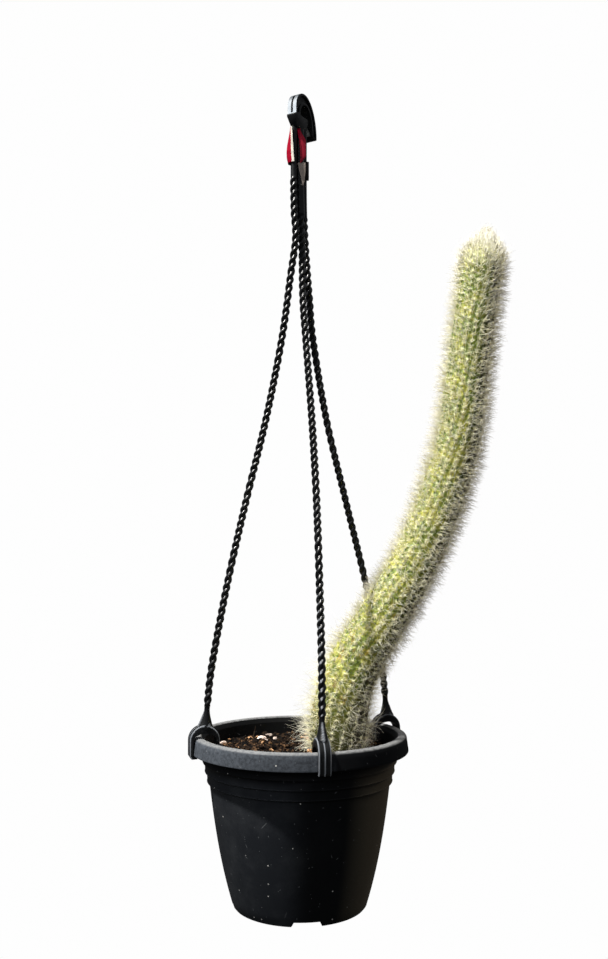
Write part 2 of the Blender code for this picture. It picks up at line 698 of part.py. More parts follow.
def make_strand(name, facts, material):
    azimuth = facts["azimuth"]
    radial = Vector((math.cos(azimuth), math.sin(azimuth), 0))
    tangent = Vector((-radial.y, radial.x, 0))
    route = smooth_route([Vector(point) * MM for point in facts["route"]], ROPE_PITCH / RINGS_PER_TURN)
    overlap = OVERLAP_RINGS * ROPE_PITCH / RINGS_PER_TURN
    neck = [point for point in route if point.z > facts["rope_top"] - overlap]
    rope = [point for point in route if ROPE_BOTTOM < point.z < facts["rope_top"]]
    foot = [point for point in route if point.z < ROPE_BOTTOM + overlap]
    strand = add_object(rope_solid(rope), name, material)

    def place(a, b, t):
        return radial * a + tangent * t + Vector((0, 0, b))

    extras = [
        add_object(neck_solid(neck[::NECK_STRIDE] + neck[-1:]), name + "_neck"),
        add_object(foot_solid(foot, radial, tangent), name + "_foot"),
        add_object(prism(clip_outline(), CLIP_WIDTH, place), name + "_clip"),
    ]
    if name == "strand_right":
        bm = bmesh.new()
        bmesh.ops.create_cube(bm, size=1.0)
        bmesh.ops.scale(bm, verts=bm.verts, vec=TAB_SIZE)
        bmesh.ops.translate(bm, verts=bm.verts, vec=TAB_CENTRE)
        extras.append(add_object(bm, name + "_tab"))
    fuse_all(strand, extras)
    return strand


def make_tag(material):
    """A curled label: its plan line bulges by a different share at each level."""
    pivot = Vector(TAG_PLAN[TAG_CURL_START - 1])
    rings = []
    for level, bulge in enumerate(TAG_BULGE):
        height = TAG_BOTTOM + (TAG_TOP - TAG_BOTTOM) * level / (len(TAG_BULGE) - 1)
        plan = [Vector(point) for point in TAG_PLAN]
        for i in range(TAG_CURL_START, len(plan)):
            plan[i].x = pivot.x + (plan[i].x - pivot.x) * (0.55 + 0.45 * bulge)
        left, right = [], []
        for i, point in enumerate(plan):
            ahead = plan[min(i + 1, len(plan) - 1)]
            behind = plan[max(i - 1, 0)]
            along = (ahead - behind).normalized()
            offset = Vector((-along.y, along.x)) * (TAG_SHEET / MM) / 2
            left.append(point + offset)
            right.append(point - offset)
        rings.append([Vector((p.x * MM, p.y * MM, height)) for p in left + right[::-1]])
    return add_object(skin(rings), "tag", material)


def main():
    clear_scene()
    seat = Vector((SEAT_S * math.cos(HOOK_AZIMUTH), SEAT_S * math.sin(HOOK_AZIMUTH), SEAT_HEIGHT))
    rim_centre = bpy.data.objects.new("rim_centre", None)
    bpy.context.scene.collection.objects.link(rim_centre)
    rim_centre.location = -seat
    black = plastic("black_plastic", (0.012, 0.013, 0.014), 0.42)
    make_pot(black)
    make_soil(plastic("potting_soil", (0.045, 0.026, 0.016), 0.95))
    make_stem(plastic("cactus_skin", (0.42, 0.45, 0.12), 0.6))
    make_hook(black)
    for name, facts in STRANDS.items():
        make_strand(name, facts, black)
    make_tag(plastic("red_label", (0.72, 0.02, 0.05), 0.45))
    bpy.context.view_layer.update()


main()
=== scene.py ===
import math
import random

import bmesh
import bpy
from mathutils import Matrix, Vector, noise


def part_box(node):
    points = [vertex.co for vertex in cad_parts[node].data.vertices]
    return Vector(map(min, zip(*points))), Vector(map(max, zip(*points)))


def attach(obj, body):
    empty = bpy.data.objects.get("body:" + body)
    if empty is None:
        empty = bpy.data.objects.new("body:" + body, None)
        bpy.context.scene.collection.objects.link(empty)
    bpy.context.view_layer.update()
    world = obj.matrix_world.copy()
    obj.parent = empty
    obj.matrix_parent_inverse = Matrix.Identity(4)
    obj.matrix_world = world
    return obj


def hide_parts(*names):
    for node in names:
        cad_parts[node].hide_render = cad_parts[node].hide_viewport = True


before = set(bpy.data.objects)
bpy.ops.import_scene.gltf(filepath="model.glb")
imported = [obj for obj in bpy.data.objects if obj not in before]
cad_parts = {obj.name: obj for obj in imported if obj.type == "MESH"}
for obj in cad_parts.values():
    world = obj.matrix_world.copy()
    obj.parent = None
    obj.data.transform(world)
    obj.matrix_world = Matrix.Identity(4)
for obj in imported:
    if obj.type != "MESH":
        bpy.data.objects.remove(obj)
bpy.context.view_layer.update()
mm = 0.001
potLow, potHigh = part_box("pot")
# every piece is drawn from the middle of the rim's top
rimCentre = Vector(((potLow.x + potHigh.x) / 2, (potLow.y + potHigh.y) / 2, potHigh.z))
up = Vector((0, 0, 1))


def at(x, y, z):
    return Vector((x, y, z)) * mm


def levelWays(azimuth):
    # the level way out along an azimuth in degrees, and the one square across it
    turn = math.radians(azimuth)
    out = Vector((math.cos(turn), math.sin(turn), 0))
    return out, Vector((-out.y, out.x, 0))


def meshObject(bm, name, *materials):
    bmesh.ops.recalc_face_normals(bm, faces=bm.faces)
    bmesh.ops.translate(bm, verts=bm.verts, vec=rimCentre)
    mesh = bpy.data.meshes.new(name)
    bm.to_mesh(mesh)
    bm.free()
    for material in materials:
        mesh.materials.append(material)
    piece = bpy.data.objects.new(name, mesh)
    bpy.context.scene.collection.objects.link(piece)
    return piece


def bakeModifiers(piece):
    graph = bpy.context.evaluated_depsgraph_get()
    shown = piece.evaluated_get(graph)
    done = bpy.data.meshes.new_from_object(shown, preserve_all_data_layers=True, depsgraph=graph)
    piece.modifiers.clear()
    piece.data = done


def mountPiece(piece, slotName, *nodes, sharp=35):
    piece.data.shade_smooth()
    piece.data.set_sharp_from_angle(angle=math.radians(sharp))
    if nodes:
        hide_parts(*nodes)
    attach(piece, "root")
    print("made", piece.name, len(piece.data.polygons), "faces")


def solidModifier(piece, other, operation):
    modifier = piece.modifiers.new("solid", "BOOLEAN")
    modifier.operation = operation
    modifier.solver = "EXACT"
    modifier.object = other
    return modifier


def carve(piece, cutters, width, angle=30, segments=2):
    # cuts the cutters away, softens the edges and drops the cutters
    for cutter in cutters:
        solidModifier(piece, cutter, "DIFFERENCE")
    modifier = piece.modifiers.new("softEdges", "BEVEL")
    modifier.width = width
    modifier.segments = segments
    modifier.limit_method = "ANGLE"
    modifier.angle_limit = math.radians(angle)
    bakeModifiers(piece)
    for cutter in cutters:
        bpy.data.objects.remove(cutter)


def sweep(bm, corners, shape, stations):
    # carries a ring of corners through the stations: shape(step, corner) gives its two offsets there
    order = bm.verts.layers.int.get("order") or bm.verts.layers.int.new("order")
    along = bm.verts.layers.float.get("along") or bm.verts.layers.float.new("along")
    last = len(stations) - 1
    grid = bmesh.ops.create_grid(bm, x_segments=corners, y_segments=last, size=mm)["verts"]
    grid = sorted(grid, key=lambda vert: (round(vert.co.y / mm * last), vert.co.x))
    rings = [grid[i:i + corners + 1] for i in range(0, len(grid), corners + 1)]
    for step, (ring, (centre, sideA, sideB)) in enumerate(zip(rings, stations)):
        for corner, vert in enumerate(ring):
            a, b = shape(step, corner % corners)
            vert.co = centre + sideA * a + sideB * b
            vert[order] = corner % corners
            vert[along] = step / last
    bmesh.ops.weld_verts(bm, targetmap={ring.pop(): ring[0] for ring in rings})
    for ring in (rings[0], rings[-1]):
        inRing = set(ring)
        edges = {edge for vert in ring for edge in vert.link_edges if inRing.issuperset(edge.verts)}
        bmesh.ops.contextual_create(bm, geom=list(edges))


def smoothRoute(points, step):
    ends = [points[0] * 2 - points[1], *points, points[-1] * 2 - points[-2]]
    route = []
    for before, start, end, after in zip(ends, ends[1:], ends[2:], ends[3:]):
        count = max(1, round((end - start).length / step))
        for i in range(count):
            t = i / count
            route.append(0.5 * (2 * start + (end - before) * t
                                + (2 * before - 5 * start + 4 * end - after) * t * t
                                + (3 * start - before - 3 * end + after) * t ** 3))
    return route + [points[-1].copy()]


def evenRoute(points, step):
    # the same curve, in steps of one length
    route = smoothRoute(points, step / 4)
    even = [route[0]]
    for point in route:
        if (point - even[-1]).length >= step:
            even.append(point)
    return even


def framesAlong(route):
    frames = []
    for i, point in enumerate(route):
        heading = (route[min(i + 1, len(route) - 1)] - route[max(i - 1, 0)]).normalized()
        across = heading.cross(Vector((1, 0, 0))).normalized()
        side = across.cross(heading).normalized()
        frames.append((point, side, across))
    return frames


def blendStep(low, high, value):
    t = min(1.0, max(0.0, (value - low) / (high - low)))
    return t * t * (3 - 2 * t)


# Node helpers

def plug(tree, made, sockets):
    # a socket is linked, and a plain value is set
    for key, value in sockets.items():
        if isinstance(value, bpy.types.NodeSocket):
            tree.links.new(value, made.inputs[key])
        else:
            made.inputs[key].default_value = value


def node(tree, kind, sockets=None, **settings):
    made = tree.nodes.new("ShaderNode" + kind)
    for key, value in settings.items():
        setattr(made, key, value)
    plug(tree, made, sockets or {})
    return made


def mixColour(tree, factor, a, b, blend="MIX"):
    a, b = (value if isinstance(value, bpy.types.NodeSocket) else (*value, 1) for value in (a, b))
    made = node(tree, "Mix", {0: factor, 6: a, 7: b}, data_type="RGBA", blend_type=blend)
    return made.outputs[2]


def maths(tree, operation, a, b=0.0, clamp=False):
    return node(tree, "Math", {0: a, 1: b}, operation=operation, use_clamp=clamp).outputs[0]


def times(tree, a, b):
    return maths(tree, "MULTIPLY", a, b)


def vectorMaths(tree, operation, a, b=None):
    made = node(tree, "VectorMath", {0: a} if b is None else {0: a, 1: b}, operation=operation)
    return made.outputs["Value" if operation in ("DOT_PRODUCT", "LENGTH") else "Vector"]


def spread(tree, value, low, high, outLow=0.0, outHigh=1.0):
    sockets = {"Value": value, "From Min": low, "From Max": high, "To Min": outLow, "To Max": outHigh}
    return node(tree, "MapRange", sockets, interpolation_type="SMOOTHSTEP").outputs[0]


def heightSpread(tree, coords, low, high, outLow=0.0, outHigh=1.0):
    # low and high are heights above the rim's top, in mm
    height = node(tree, "SeparateXYZ", {0: coords}).outputs["Z"]
    return spread(tree, height, rimCentre.z + low * mm, rimCentre.z + high * mm, outLow, outHigh)


def attributeValue(tree, name):
    return node(tree, "Attribute", attribute_name=name).outputs["Fac"]


def noiseValue(tree, vector, scale, detail=3.0, rough=0.5, distort=0.0):
    sockets = {"Vector": vector, "Scale": scale, "Detail": detail, "Roughness": rough, "Distortion": distort}
    return node(tree, "TexNoise", sockets).outputs[0]


def shaderGroup(name, inputs, outputs):
    # takes a vector and the named numbers, and puts out named numbers
    tree = bpy.data.node_groups.new(name, "ShaderNodeTree")
    tree.interface.new_socket(name="Vector", in_out="INPUT", socket_type="NodeSocketVector")
    for label, value in inputs.items():
        socket = tree.interface.new_socket(name=label, in_out="INPUT", socket_type="NodeSocketFloat")
        socket.default_value = value
    for label in outputs:
        tree.interface.new_socket(name=label, in_out="OUTPUT", socket_type="NodeSocketFloat")
    return tree, tree.nodes.new("NodeGroupInput"), tree.nodes.new("NodeGroupOutput")


scuffLook = {
    # the two ends of ramps, but for cloud and grain: a noise's scale, detail and roughness
    "speckEdge": (0.12, 0.05), "speckShare": (0.80, 0.84), "scratchWidth": (0.32 * mm, 0.12 * mm),
    "scratchLength": (3.2 * mm, 2.0 * mm), "cloud": (30.0, 6.0, 0.7), "cloudEdge": (0.42, 0.75),
    "grain": (900.0, 3.0, 0.6),
}
mottleLook = {
    # patch and fleck give a noise's detail, roughness and distortion, and fine has its scale first
    "patch": (4.0, 0.6, 0.6), "patchEdge": (0.36, 0.64), "fleck": (3.0, 0.65), "fleckEdge": (0.35, 0.68),
    "fine": (2600.0, 2.0, 0.6),
}


def makeScuffGroup():
    # pale specks, fine scratches, patches of dust and a moulded grain
    look = scuffLook
    spacings = {"Speck Spacing": 90.0, "Scratch Spacing": 60.0}
    tree, start, end = shaderGroup("scuffs", spacings, ("Specks", "Scratches", "Dust", "Grain"))
    vector = start.outputs["Vector"]
    cells = node(tree, "TexVoronoi", {"Vector": vector, "Scale": start.outputs["Speck Spacing"]})
    chosen = node(tree, "SeparateColor", {0: cells.outputs["Color"]}).outputs[0]
    small = spread(tree, cells.outputs["Distance"], *look["speckEdge"])
    specks = times(tree, small, spread(tree, chosen, *look["speckShare"]))
    # a scratch is a thin straight rod through its cell, cut by the surface
    fields = node(tree, "TexVoronoi", {"Vector": vector, "Scale": start.outputs["Scratch Spacing"]})
    offset = vectorMaths(tree, "SUBTRACT", vector, fields.outputs["Position"])
    way = vectorMaths(tree, "SUBTRACT", fields.outputs["Color"], (0.5, 0.5, 0.5))
    way = vectorMaths(tree, "NORMALIZE", way)
    along = maths(tree, "ABSOLUTE", vectorMaths(tree, "DOT_PRODUCT", offset, way))
    aside = vectorMaths(tree, "LENGTH", vectorMaths(tree, "CROSS_PRODUCT", offset, way))
    thin = spread(tree, aside, *look["scratchWidth"])
    scratches = times(tree, thin, spread(tree, along, *look["scratchLength"]))
    dust = spread(tree, noiseValue(tree, vector, *look["cloud"]), *look["cloudEdge"])
    grain = noiseValue(tree, vector, *look["grain"])
    plug(tree, end, {"Specks": specks, "Scratches": scratches, "Dust": dust, "Grain": grain})
    return tree


def makeMottleGroup():
    # broad patches, small flecks and a fine fleck, for plant tissue and soil
    look = mottleLook
    scales = {"Patch Scale": 50.0, "Fleck Scale": 400.0}
    tree, start, end = shaderGroup("mottle", scales, ("Patches", "Flecks", "Fine"))
    vector = start.outputs["Vector"]
    patches = noiseValue(tree, vector, start.outputs["Patch Scale"], *look["patch"])
    flecks = noiseValue(tree, vector, start.outputs["Fleck Scale"], *look["fleck"])
    plug(tree, end, {
        "Patches": spread(tree, patches, *look["patchEdge"]),
        "Flecks": spread(tree, flecks, *look["fleckEdge"]),
        "Fine": noiseValue(tree, vector, *look["fine"]),
    })
    return tree


def newMaterial(name):
    material = bpy.data.materials.new(name)
    material.use_nodes = True
    tree = material.node_tree
    shader = tree.nodes["Principled BSDF"]
    coords = tree.nodes.new("ShaderNodeTexCoord").outputs["Object"]
    return material, tree, shader, coords


def useGroup(tree, group, vector, scales):
    made = tree.nodes.new("ShaderNodeGroup")
    made.node_tree = group
    plug(tree, made, {"Vector": vector, **scales})
    return made.outputs


def bump(tree, shader, height, strength, distance):
    made = node(tree, "Bump", {"Height": height, "Strength": strength, "Distance": distance})
    plug(tree, shader, {"Normal": made.outputs["Normal"]})


scuffs = makeScuffGroup()
mottle = makeMottleGroup()


plasticLook = {
    # what every piece's plastic starts from
    "dust": 0.6, "scratches": 0.3, "specks": 0.3, "speckSpacing": 300.0, "scratchSpacing": 220.0,
    "roughness": (0.5, 0.6), "bump": 0.15, "bumpHeight": 0.05 * mm, "gloss": 0.1, "ribHighlightShare": 0.85,
    "scratchColour": (0.10, 0.105, 0.11), "speckColour": (0.45, 0.44, 0.42),
}


def dustAndPaintedLight(tree, coords, colour, values):
    # dust lies on the rim band, and painted light brightens it on the left where the key falls, while painted
    # shade darkens it away to nothing right of the front clip
    level = vectorMaths(tree, "MULTIPLY", vectorMaths(tree, "SUBTRACT", coords, rimCentre), (1, 1, 0))
    outside = spread(tree, vectorMaths(tree, "LENGTH", level), *values["mouthEdge"])
    rightward = vectorMaths(tree, "DOT_PRODUCT", vectorMaths(tree, "NORMALIZE", level), values["rightward"])
    bandDustAndLight = times(tree, heightSpread(tree, coords, *values["bandDustAndLight"]), outside)
    grains = noiseValue(tree, coords, *values["grains"])
    bandDustAndLight = times(tree, bandDustAndLight, spread(tree, grains, *values["grainEdge"]))
    for bandShade in values["bandShade"]:
        bandDustAndLight = times(tree, bandDustAndLight, spread(tree, rightward, *bandShade))
    # the body is dusty on its left; painted shade makes it near-black in front, on its right and in the
    # band's shadow just under the rim band, and a brown film with a painted warm sheen lies on its right
    bodyShade = maths(tree, "MAXIMUM", spread(tree, rightward, *values["bodyShade"]),
                  heightSpread(tree, coords, *values["bodyShadeUnderBand"]))
    # a brown film with a painted warm sheen from the warm lamp, on the body's right
    filmAndSheen = times(tree, spread(tree, rightward, *values["filmAndSheen"]),
                   heightSpread(tree, coords, *values["filmAndSheenUnder"]))
    colour = mixColour(tree, times(tree, bodyShade, values["bodyShadeShare"]), colour, values["bodyShadeColour"])
    colour = mixColour(tree, times(tree, filmAndSheen, values["filmAndSheenShare"]), colour, values["filmAndSheenColour"])
    colour = mixColour(tree, bandDustAndLight, colour, values["bandDustAndLightColour"])
    # the pale patchy lip is partly wear and partly a painted highlight along the rim's top
    patches = noiseValue(tree, coords, *values["patches"])
    lip = times(tree, heightSpread(tree, coords, *values["lip"]), spread(tree, patches, *values["patchEdge"]))
    return mixColour(tree, lip, colour, values["lipWearAndHighlightColour"])


def blackPlastic(name, own):
    values = {**plasticLook, **own}
    material, tree, shader, coords = newMaterial(name)
    spacings = {"Speck Spacing": values["speckSpacing"], "Scratch Spacing": values["scratchSpacing"]}
    worn = useGroup(tree, scuffs, coords, spacings)
    dust = times(tree, worn["Dust"], values["dust"])
    colour = mixColour(tree, dust, values["colour"], values["dustColour"])
    if "lip" in values:
        colour = dustAndPaintedLight(tree, coords, colour, values)
    # painted highlight: a colour that darkens towards the top, for a highlight that fades upward
    if "fade" in values:
        colour = mixColour(tree, heightSpread(tree, coords, *values["fade"]), colour, values["fadeColour"])
    # painted highlight: faces marked by the rib attribute get a pale colour for the light the ribs catch
    if "ribHighlightColour" in values:
        paintedHighlight = times(tree, attributeValue(tree, "rib"), values["ribHighlightShare"])
        colour = mixColour(tree, paintedHighlight, colour, values["ribHighlightColour"])
    scratches = times(tree, worn["Scratches"], values["scratches"])
    colour = mixColour(tree, scratches, colour, values["scratchColour"])
    colour = mixColour(tree, times(tree, worn["Specks"], values["specks"]), colour, values["speckColour"])
    rough = spread(tree, maths(tree, "ADD", worn["Dust"], scratches), 0.0, 1.2, *values["roughness"])
    plug(tree, shader, {"Base Color": colour, "Roughness": rough, "Specular IOR Level": values["gloss"]})
    height = maths(tree, "SUBTRACT", worn["Grain"], times(tree, scratches, 2.0))
    bump(tree, shader, height, values["bump"], values["bumpHeight"])
    return material


# Pot

potLook = {
    "bandRadius": 76.5, "bandTopRadius": 75.1, "rimRadius": 69.4, "bandHeight": 11.6, "height": 120.2,
    "wall": 1.8, "footRadius": 47.0, "footLand": 3.2, "footRecess": 3.9, "shoulderRadius": 68.2,
    "ridges": (19.0, 25.8, 32.8), "ridgeStep": 1.35, "segments": 160, "wallSteps": 14, "notches": 4,
    "firstNotch": -84, "notchWidth": 17.4, "notchFlare": 4.1, "notchHeight": 3.6, "notchReach": 12.0,
    "drains": 4, "drainRadius": 4.5, "drainCircle": 31.0, "softEdge": 0.3,
    "plastic": {
        "colour": (0.0090, 0.0103, 0.0126), "dustColour": (0.024, 0.026, 0.029), "scratches": 0.6,
        "specks": 0.9, "speckSpacing": 190.0, "scratchSpacing": 130.0, "roughness": (0.46, 0.60),
        # painted light and shade: the band colour lit on the left, the near-black body shade colour and the
        # brown warm-sheen colour
        "bump": 0.25, "bandDustAndLightColour": (0.060, 0.068, 0.080), "lipWearAndHighlightColour": (0.16, 0.163, 0.165),
        "bodyShadeColour": (0.0012, 0.0013, 0.0015), "filmAndSheenColour": (0.046, 0.040, 0.029),
        "bodyShadeShare": 0.85, "filmAndSheenShare": 0.9,
        # ramps up the pot, in mm above the rim, and one out from its axis
        "bandDustAndLight": (-13, -11), "bodyShadeUnderBand": (-25, -19), "filmAndSheenUnder": (-13, -16), "lip": (-1.7, -0.2),
        "mouthEdge": (69.5 * mm, 71.5 * mm),
        # ramps round the pot, by how far a place faces rightward
        "rightward": (0.94, -0.34, 0.0), "bandShade": ((-0.7, 0.2, 1.0, 0.62), (0.55, 0.63, 1.0, 0.0)),
        "bodyShade": (0.10, 0.50), "filmAndSheen": (0.74, 0.96),
        "grains": (520.0, 4.0, 0.7), "grainEdge": (0.3, 0.66, 0.45, 1.0),
        "patches": (420.0, 5.0, 0.7), "patchEdge": (0.36, 0.62, 0.5, 1.0),
    },
    # painted shade: a darker plastic for the inner wall
    "inside": {
        "colour": (0.0018, 0.0019, 0.0021), "dustColour": (0.0045, 0.0048, 0.005), "scratches": 0.5,
        "specks": 0.8, "speckSpacing": 190.0, "scratchSpacing": 130.0, "roughness": (0.5, 0.62),
        "bump": 0.25, "gloss": 0.08,
    },
}


def bodyRadius(depth):
    look = potLook
    lastRidge = look["ridges"][-1]
    if depth <= lastRidge:
        steps = sum(depth > ridge for ridge in look["ridges"])
        return look["shoulderRadius"] - steps * look["ridgeStep"] - 0.03 * (depth - look["ridges"][0])
    t = (depth - lastRidge) / (look["height"] - lastRidge)
    top = look["shoulderRadius"] - 3.4 * look["ridgeStep"]
    return top - (top - look["footRadius"]) * (0.62 * t + 0.38 * t ** 2.6)


def potProfile():
    look = potLook
    band, bandTop, rim = look["bandRadius"], look["bandTopRadius"], look["rimRadius"]
    wall, shoulder, height = look["wall"], look["shoulderRadius"], look["height"]
    outer = []
    for ridge in look["ridges"]:
        above, below = bodyRadius(ridge - 0.3), bodyRadius(ridge + 0.9)
        outer += [(above, -ridge + 0.9), (above + 0.25, -ridge + 0.45), (above, -ridge),
                  (below, -ridge - 0.7)]
    steps = look["wallSteps"]
    for i in range(1, steps + 1):
        depth = look["ridges"][-1] + (height - 1.4 - look["ridges"][-1]) * i / steps
        outer.append((bodyRadius(depth), -depth))
    land = look["footRadius"] - look["footLand"]
    profile = [(0.0, -height + look["footRecess"]), (land, -height + look["footRecess"]), (land, -height),
               (look["footRadius"] - 0.7, -height)]
    profile += reversed(outer)
    bandFoot = -look["bandHeight"]
    profile += [(shoulder + 0.1, -9.0), (shoulder + 0.5, -3.5), (shoulder + 1.3, -2.3),
                (bandTop - wall - 0.8, -2.3), (bandTop - wall, -3.3), (band - wall, bandFoot),
                (band - 0.3, bandFoot), (band, bandFoot + 0.4), (band - 0.1, bandFoot + 1.6),
                (bandTop + 0.5, -4.6), (bandTop + 0.1, -1.7), (bandTop - 0.5, -0.85), (bandTop - 1.5, -0.3),
                (bandTop - 2.6, 0.0), (rim + 1.1, 0.0), (rim + 0.3, -0.25), (rim - 0.2, -0.9),
                (shoulder - wall + 0.5, -3.8)]
    for depth in (12.5, 18, 30, 38, 55, 75, 93, 107):
        profile.append((bodyRadius(depth + 1.2) - wall - 0.3, -depth))
    floorDepth = height - look["footRecess"] - wall
    profile += [(bodyRadius(floorDepth) - wall - 3.0, -floorDepth), (0.0, -floorDepth)]
    return profile


def turned(profile, segments):
    bm = bmesh.new()
    chain = [bm.verts.new(at(radius, 0, height)) for radius, height in profile]
    edges = [bm.edges.new(pair) for pair in zip(chain, chain[1:])]
    bmesh.ops.spin(bm, geom=chain + edges, cent=(0, 0, 0), axis=(0, 0, 1), angle=math.tau, steps=segments,
                   use_merge=True)
    bmesh.ops.remove_doubles(bm, verts=bm.verts, dist=0.01 * mm)
    return bm


def aimedCutter(bm, azimuth):
    bmesh.ops.rotate(bm, verts=bm.verts, cent=(0, 0, 0), matrix=Matrix.Rotation(azimuth, 3, "Z"))
    return meshObject(bm, "cutter")


def notchCutter(azimuth):
    look = potLook
    bm = bmesh.new()
    bmesh.ops.create_cube(bm, size=1.0)
    for vert in bm.verts:
        low = vert.co.z < 0
        half = look["notchWidth"] / 2 + (look["notchFlare"] / 2 if low else 0)
        height = -look["height"] + (-1.0 if low else look["notchHeight"])
        out = look["footRadius"] + vert.co.x * look["notchReach"]
        vert.co = at(out, math.copysign(half, vert.co.y), height)
    return aimedCutter(bm, azimuth)


def drainCutter(azimuth):
    look = potLook
    bm = bmesh.new()
    radius = look["drainRadius"] * mm
    bmesh.ops.create_cone(bm, cap_ends=True, segments=32, radius1=radius, radius2=radius, depth=8 * mm)
    height = -look["height"] + look["footRecess"] + look["wall"] / 2
    bmesh.ops.translate(bm, verts=bm.verts, vec=at(look["drainCircle"], 0, height))
    return aimedCutter(bm, azimuth)


def makePot():
    look = potLook
    plastic = blackPlastic("potPlastic", look["plastic"])
    pot = meshObject(turned(potProfile(), look["segments"]), "hangingPot", plastic)
    first = math.radians(look["firstNotch"])
    cutters = [notchCutter(first + i * math.tau / look["notches"]) for i in range(look["notches"])]
    cutters += [drainCutter(first + (i + 0.5) * math.tau / look["drains"]) for i in range(look["drains"])]
    carve(pot, cutters, look["softEdge"] * mm)
    # painted shade: inward faces of the inner wall get the darker plastic, for the shade inside the pot
    pot.data.materials.append(blackPlastic("potInsideShade", look["inside"]))
    for face in pot.data.polygons:
        place = face.center - rimCentre
        inward = face.normal.xy.dot(place.xy) < 0 and place.xy.length < (look["rimRadius"] + 0.2) * mm
        if inward and -107 * mm < place.z < -0.8 * mm:
            face.material_index = 1
    mountPiece(pot, "black_plastic", "pot", sharp=50)


# Hanger: three strands and the hook

strandLook = {
    "ropeLobe": 1.86, "ropeCore": 0.84, "pitch": 10.2, "corners": 28, "step": 0.5, "neckRadius": 2.2,
    "lowNeckRadius": 1.9, "lowNeckTop": 100, "ropeBottom": 22.0, "ropeBlend": 1.5, "flareTop": 19.5,
    "flareRadial": 4.9, "flareOut": 6.0, "flareTangent": 4.3, "ribHalf": 0.6, "ribRise": 0.5,
    "clipWidth": 8.5, "clipStrap": 1.8, "clipOuter": 78.7, "arch": 10.0, "clipTop": 8.4, "holeTop": 3.4,
    "archSteps": 20, "innerEnd": 9.6, "lipReach": 2.9, "lipThickness": 1.8,
    "plastic": {
        "colour": (0.0030, 0.0034, 0.0038), "dustColour": (0.013, 0.014, 0.0155), "dust": 0.5,
        "specks": 0.5, "speckSpacing": 260.0, "scratchSpacing": 200.0, "roughness": (0.34, 0.46),
        "bump": 0.2, "gloss": 0.30, "ribHighlightColour": (0.20, 0.215, 0.235),
    },
    # painted highlight: the pale plastic for the clip's ridges
    "edge": {
        "colour": (0.13, 0.14, 0.155), "dustColour": (0.19, 0.20, 0.22), "ribHighlightColour": (0.13, 0.14, 0.155),
    },
}
strandRoutes = {
    "left": {
        "route": ((-4.0, -5.2, 425.3), (-4.2, -5.6, 391), (-3.8, -6.6, 366), (-2.8, -7.4, 347),
                  (-6.4, -6.2, 321), (-12.5, -6.0, 277), (-23.6, -8.2, 220), (-37.0, -11.6, 164),
                  (-49.5, -15.2, 108), (-59.8, -18.3, 53), (-63.1, -19.5, 26), (-64.3, -20.0, 6)),
        "azimuth": 197, "ropeTop": 389.5,
    },
    "front": {
        "route": ((0.1, -1.7, 425.3), (0.1, -1.9, 391), (0.7, -2.2, 366), (1.6, -2.9, 346),
                  (2.2, -7.6, 306), (4.3, -13.0, 275), (8.4, -24.5, 218), (11.4, -38.5, 162),
                  (13.1, -51.5, 109), (14.4, -61.6, 57), (14.5, -65.7, 27), (14.4, -67.3, 6)),
        "azimuth": -78, "ropeTop": 364.0, "neckRadius": 2.9,
    },
    "right": {
        "route": ((2.8, 2.4, 425.3), (2.8, 2.7, 391), (3.1, 3.2, 366), (3.9, 3.4, 346),
                  (6.9, 3.7, 307), (9.5, 4.8, 278), (19.1, 8.9, 222), (33.0, 15.4, 165),
                  (47.5, 21.8, 107), (58.3, 26.0, 56), (62.2, 27.7, 26), (63.2, 28.1, 6)),
        "azimuth": 24, "ropeTop": 364.0,
        "pad": ((5.2, 1.6, 397.3), (2.6, 1.6, 13.5)),  # a block on its neck: its middle and its size
    },
}


def lobedRadius(turn):
    # two round plies laid together
    look = strandLook
    off = (turn + math.pi / 2) % math.pi - math.pi / 2
    core, lobe = look["ropeCore"], look["ropeLobe"]
    return core * math.cos(off) + math.sqrt(lobe ** 2 - (core * math.sin(off)) ** 2)


